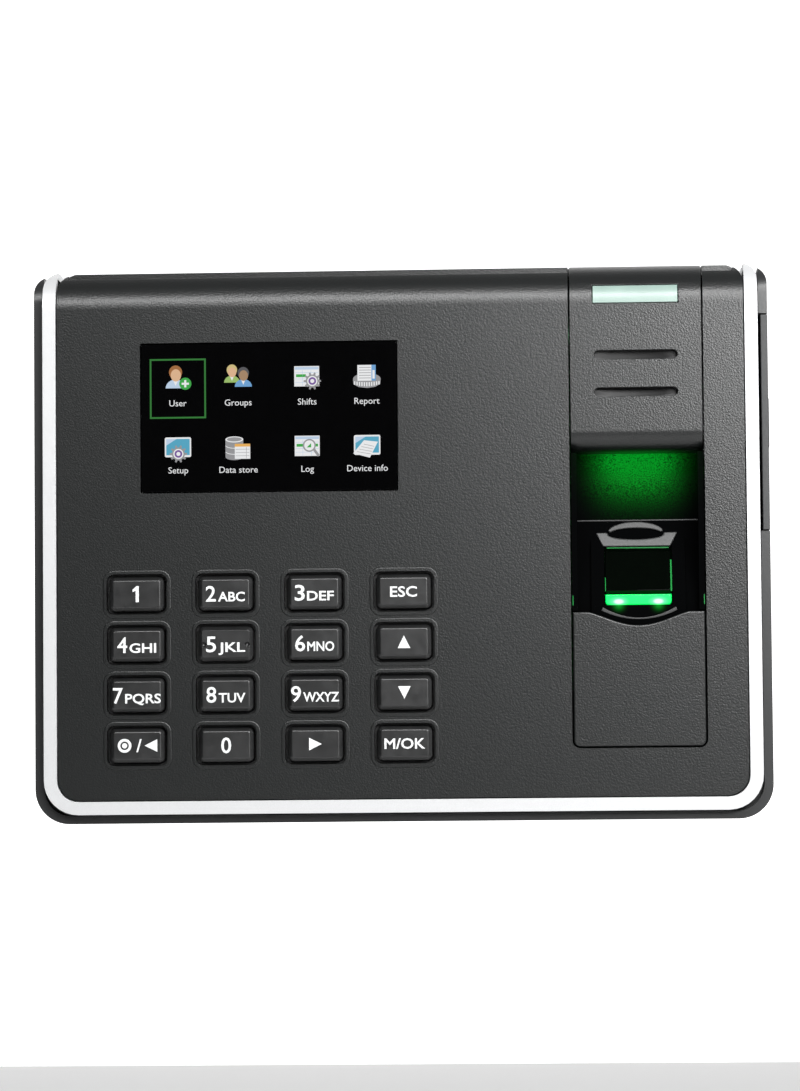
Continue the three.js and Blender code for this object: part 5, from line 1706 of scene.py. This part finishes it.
# ---- Rear and inside -----------------------------------------------------------------------------
class Screws:
    """Pan-head screws with a cross recess."""

    head_height = 1.9 * MM
    recess = 1.1 * MM
    recess_arms = ((0.45 * MM, 1.75 * MM), (1.75 * MM, 0.45 * MM))
    thread = 1.3 * MM
    pitch = 0.8 * MM

    def build(self) -> None:
        """Builds every screw."""
        for kind in ("case", "board"):
            for number in range(1, 5):
                self._place(f"{kind}_screw_{number}", Axis.Y)
        self._place("lock_screw", Axis.Z)

    def _place(self, name: str, along: Axis) -> None:
        """Builds one screw and settles it."""
        settle(self._screw(name, Box.of(name), along), nodes=(name,))

    def _screw(self, name: str, box: Box, along: Axis) -> Piece:
        """Builds one screw inside its box.

        Args:
            name: The node that it stands for.
            box: The box that it fills.
            along: The axis that it lies along.

        Returns:
            The screw.
        """
        across = Axis.Y if along is Axis.Z else Axis.Z
        radius, length = min(box.size.x, box.size[across.value]) / 2, box.size[along.value]
        solid = self._turned(radius, length)
        screw = Workpiece(f"{name}_skin", solid)
        for wide, deep in self.recess_arms:
            screw.cut(block((-wide, wide), (-deep, deep), (length - self.recess, length + MM)))
        centre = box.centre
        if along is Axis.Y:
            turn, place = -math.pi / 2, (centre.x, box.low.y, centre.z)
        else:
            turn, place = math.pi, (centre.x, centre.y, box.high.z)
        screw.made.data.transform(Matrix.Translation(place) @ Matrix.Rotation(turn, 4, "X"))
        return screw.done(STEEL, EdgeRound(0.08 * MM, 1, 40))

    def _turned(self, radius: float, length: float) -> Solid:
        """Turns a screw without its recess, standing on its tip at the origin.

        Args:
            radius: The radius of its head.
            length: Its whole length.

        Returns:
            The screw as a bmesh.
        """
        thread, neck = self.thread, length - self.head_height
        profile = [(0, 0), (thread * 0.45, 0)]
        for turn in range(int((neck - 1.2 * MM) / self.pitch)):
            start = self.pitch * (1 + turn)
            profile += [(thread * 0.8, start), (thread, start + 0.3 * MM)]
        profile += [(thread * 0.85, neck), (radius, neck), (radius, neck + self.head_height * 0.4),
                    (radius * 0.82, length - 0.15 * MM), (radius * 0.5, length), (0, length)]
        solid = bmesh.new()
        verts = [solid.verts.new((x, 0, z)) for x, z in profile]
        edges = [solid.edges.new(pair) for pair in zip(verts, verts[1:])]
        bmesh.ops.spin(solid, geom=[*verts, *edges], cent=(0, 0, 0), axis=(0, 0, 1), angle=math.tau,
                       steps=20, use_merge=True)
        bmesh.ops.remove_doubles(solid, verts=solid.verts, dist=0.003 * MM)
        bmesh.ops.recalc_face_normals(solid, faces=solid.faces)
        return solid


class RearAndInside:
    """The pieces behind the front: plate, ports, boards and connectors."""

    rounded = {
        "wall_plate": PLATE_PAINT, "port_cover": RUBBER, "port_cover_strip": RUBBER,
        "ethernet_jack": STEEL, "power_jack": INNER_BLACK, "terminal_block": GREY_PLASTIC,
        "usb_socket": STEEL, "speaker": INNER_BLACK, "buzzer": INNER_BLACK,
        "cell_holder": INNER_BLACK, "coin_cell": STEEL, "lcd_tray": STEEL,
        "tamper_switch": INNER_BLACK, "tamper_plunger": GREY_PLASTIC, "keypad_membrane": RUBBER,
    }
    dressed = {
        "sensor_module": INNER_BLACK, "lcd_panel": DISPLAY_GLASS, "keypad_board": BOARD_GREEN,
        "indicator_board": BOARD_GREEN, "sensor_board": BOARD_GREEN, "main_board": BOARD_GREEN,
        "lcd_ribbon": FILM, "keypad_ribbon": FILM,
    }
    moving = ("port_cover", "tamper_plunger")

    def build(self) -> None:
        """Dresses every node or its rounded copy."""
        for node, finish in self.rounded.items():
            body = node if node in self.moving else HOUSING
            settle(self._rounded(node, finish), body, (node,))
        for node, finish in self.dressed.items():
            self._dress(node, finish)
        self._port_grip()
        self._strip_ribs()
        self._jack_contacts()

    @staticmethod
    def _dress(node: str, finish: Finish) -> None:
        """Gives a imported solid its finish."""
        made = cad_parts[node]
        for place in made.material_slots:
            place.material = finish.material()
        LOG.info("%s: %s", node, finish.name)

    @staticmethod
    def _rounded(node: str, finish: Finish) -> Piece:
        """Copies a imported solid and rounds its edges."""
        solid = welded_copy(node)
        bmesh.ops.dissolve_limit(solid, angle_limit=math.radians(0.5), verts=solid.verts,
                                 edges=solid.edges)
        bmesh.ops.recalc_face_normals(solid, faces=solid.faces)
        return Workpiece(f"{node}_skin", solid).done(finish, EdgeRound(0.16 * MM, 2, 35))

    @staticmethod
    def _port_grip() -> None:
        """Adds three finger ribs near the free edge of the port cover."""
        door, half, first, pitch, wide = Box.of("port_cover"), 6 * MM, 2.2 * MM, 1.3 * MM, 0.6 * MM
        x = (door.high.x - 0.18 * MM, door.high.x + 0.2 * MM)
        z = (door.centre.z - half, door.centre.z + half)
        starts = [door.low.y + first + pitch * rib for rib in range(3)]
        ribs = merged([block(x, (start, start + wide), z) for start in starts])
        grip = Workpiece("port_cover_grip", ribs).done(RUBBER, EdgeRound(0.1 * MM, 2, 40))
        settle(grip, "port_cover")

    @staticmethod
    def _strip_ribs() -> None:
        """Adds three ribs to the fixed strip behind the hinge."""
        strip, half, long_share = Box.of("port_cover_strip"), 0.15 * MM, 0.2
        x = (strip.high.x - 0.2 * MM, strip.high.x + 0.12 * MM)
        y = (strip.centre.y - half, strip.centre.y + half)
        ribs = merged([block(x, y, (strip.low.z + share * strip.size.z,
                                    strip.low.z + (share + long_share) * strip.size.z))
                       for share in (0.1, 0.4, 0.7)])
        made = Workpiece("port_strip_ribs", ribs).done(RUBBER, EdgeRound(0.08 * MM, 2, 40))
        settle(made)

    @staticmethod
    def _jack_contacts() -> None:
        """Adds the eight spring contacts inside the network socket."""
        jack, pitch, half = Box.of("ethernet_jack"), 1.02 * MM, 0.22 * MM
        front, low = jack.low.y, jack.low.z + 2.5 * MM
        section = [(front + 2.2 * MM, low), (front + 2.2 * MM, low + 0.5 * MM),
                   (front + 5.0 * MM, low + 8 * MM), (front + 5.3 * MM, low + 7.6 * MM)]
        places = [jack.centre.x + (wire - 3.5) * pitch for wire in range(8)]
        wires = merged([bar(Axis.X, section, x - half, x + half) for x in places])
        settle(shade(to_object(wires, "jack_contacts"), CONTACT))


# ---- Room, light and camera ----------------------------------------------------------------------
@dataclass(frozen=True)
class SoftLight:
    """One large soft lamp."""

    name: str
    place: tuple[float, float, float]
    aim: tuple[float, float, float]
    size: Span
    power: float


@dataclass(frozen=True)
class Studio:
    """A pale room lit softly from above, in front and to the right."""

    distance: float = 1.05
    azimuth: float = 2.8
    elevation: float = -3.5
    roll: float = 0.5
    aim: tuple[float, float, float] = (-0.0010, -0.018, 0.0003)
    lens: float = 189.2
    floor_drop: float = 0.16
    sky_side: tuple[float, float, float] = (0.8, 0.6, 0.5)
    sky_dim: float = 0.07
    sky_bright: float = 0.55
    lamps: tuple[SoftLight, ...] = (
        SoftLight("top_lamp", (0.10, -0.60, 0.42), (0.02, 0.0, 0.04), (0.8, 0.07), 6.8),
        SoftLight("front_lamp", (0.24, -0.60, 0.17), (0.03, 0.0, 0.02), (0.26, 0.16), 3.5),
        SoftLight("side_lamp", (1.1, 0.1, 0.25), (0.06, 0.0, 0.0), (0.5, 0.8), 2.5),
    )

    def camera(self) -> None:
        """Sets the camera at the viewing angle."""
        data = bpy.data.cameras.new("camera")
        data.sensor_fit, data.sensor_width, data.lens = "HORIZONTAL", 36.0, self.lens
        data.clip_start, data.clip_end = 0.01, 20.0
        made = bpy.data.objects.new("camera", data)
        bpy.context.scene.collection.objects.link(made)
        turn, rise = math.radians(self.azimuth), math.radians(self.elevation)
        level = math.cos(rise)
        out = Vector((math.sin(turn) * level, -math.cos(turn) * level, math.sin(rise)))
        made.location = Vector(self.aim) + out * self.distance
        made.rotation_euler = ((-out).to_track_quat("-Z", "Y").to_matrix() @
                               Matrix.Rotation(math.radians(-self.roll), 3, "Z")).to_euler()
        bpy.context.scene.camera = made

    def room(self) -> None:
        """Builds the floor and the backdrop."""
        low = Box.of("rear_case").low.z - self.floor_drop
        floor = bmesh.new()
        bmesh.ops.create_grid(floor, x_segments=2, y_segments=2, size=3.0)
        shade(to_object(moved(floor, z=low), "floor"), FLOOR)
        wall = bar(Axis.X, [(1.6, low - 0.05), (1.6, 3.0), (1.65, 3.0), (1.65, low - 0.05)], -3.0, 3.0)
        shade(to_object(wall, "backdrop"), BACKDROP)

    def sky(self) -> None:
        """Sets the light of the sky, which is brighter on one side."""
        world = bpy.data.worlds.new("sky")
        bpy.context.scene.world = world
        world.use_nodes = True
        tree = world.node_tree
        sky = tree.nodes["Background"]
        place = tree.nodes.new("ShaderNodeTexCoord")
        toward = tree.nodes.new("ShaderNodeVectorMath")
        toward.operation = "DOT_PRODUCT"
        toward.inputs[1].default_value = Vector(self.sky_side).normalized()
        tree.links.new(place.outputs["Generated"], toward.inputs[0])
        band = tree.nodes.new("ShaderNodeMapRange")
        for index, value in enumerate((-0.5, 1.0, self.sky_dim, self.sky_bright), start=1):
            band.inputs[index].default_value = value
        tree.links.new(toward.outputs["Value"], band.inputs[0])
        tree.links.new(band.outputs[0], sky.inputs["Strength"])
        sky.inputs["Color"].default_value = (1.0, 1.0, 1.0, 1.0)

    def light(self) -> None:
        """Hangs the soft lamps."""
        for lamp in self.lamps:
            data = bpy.data.lights.new(lamp.name, "AREA")
            data.shape, data.size, data.size_y, data.energy = "RECTANGLE", *lamp.size, lamp.power
            made = bpy.data.objects.new(lamp.name, data)
            bpy.context.scene.collection.objects.link(made)
            made.location = lamp.place
            toward = Vector(lamp.aim) - Vector(lamp.place)
            made.rotation_euler = toward.to_track_quat("-Z", "Y").to_euler()

    def build(self) -> None:
        """Sets up the room and its light."""
        self.room()
        self.sky()
        self.light()
        bpy.context.scene.view_settings.view_transform = "Standard"


def main() -> None:
    """Builds the camera, the terminal and its room."""
    logging.basicConfig(level=logging.INFO, format="%(name)s %(message)s")
    studio = Studio()
    studio.camera()
    size, keys = CaseSize(), KeyGrid(LegendSize())
    settle(FrontCover(size, keys).build(), nodes=("front_cover",))
    settle(TrimFrame(size).build(), nodes=("trim_frame",))
    settle(RearCase().build(), nodes=("rear_case",))
    keys.build()
    Display().build()
    SensorColumn(ColumnSize()).build()
    Screws().build()
    RearAndInside().build()
    studio.build()


if __name__ == "__main__":
    main()
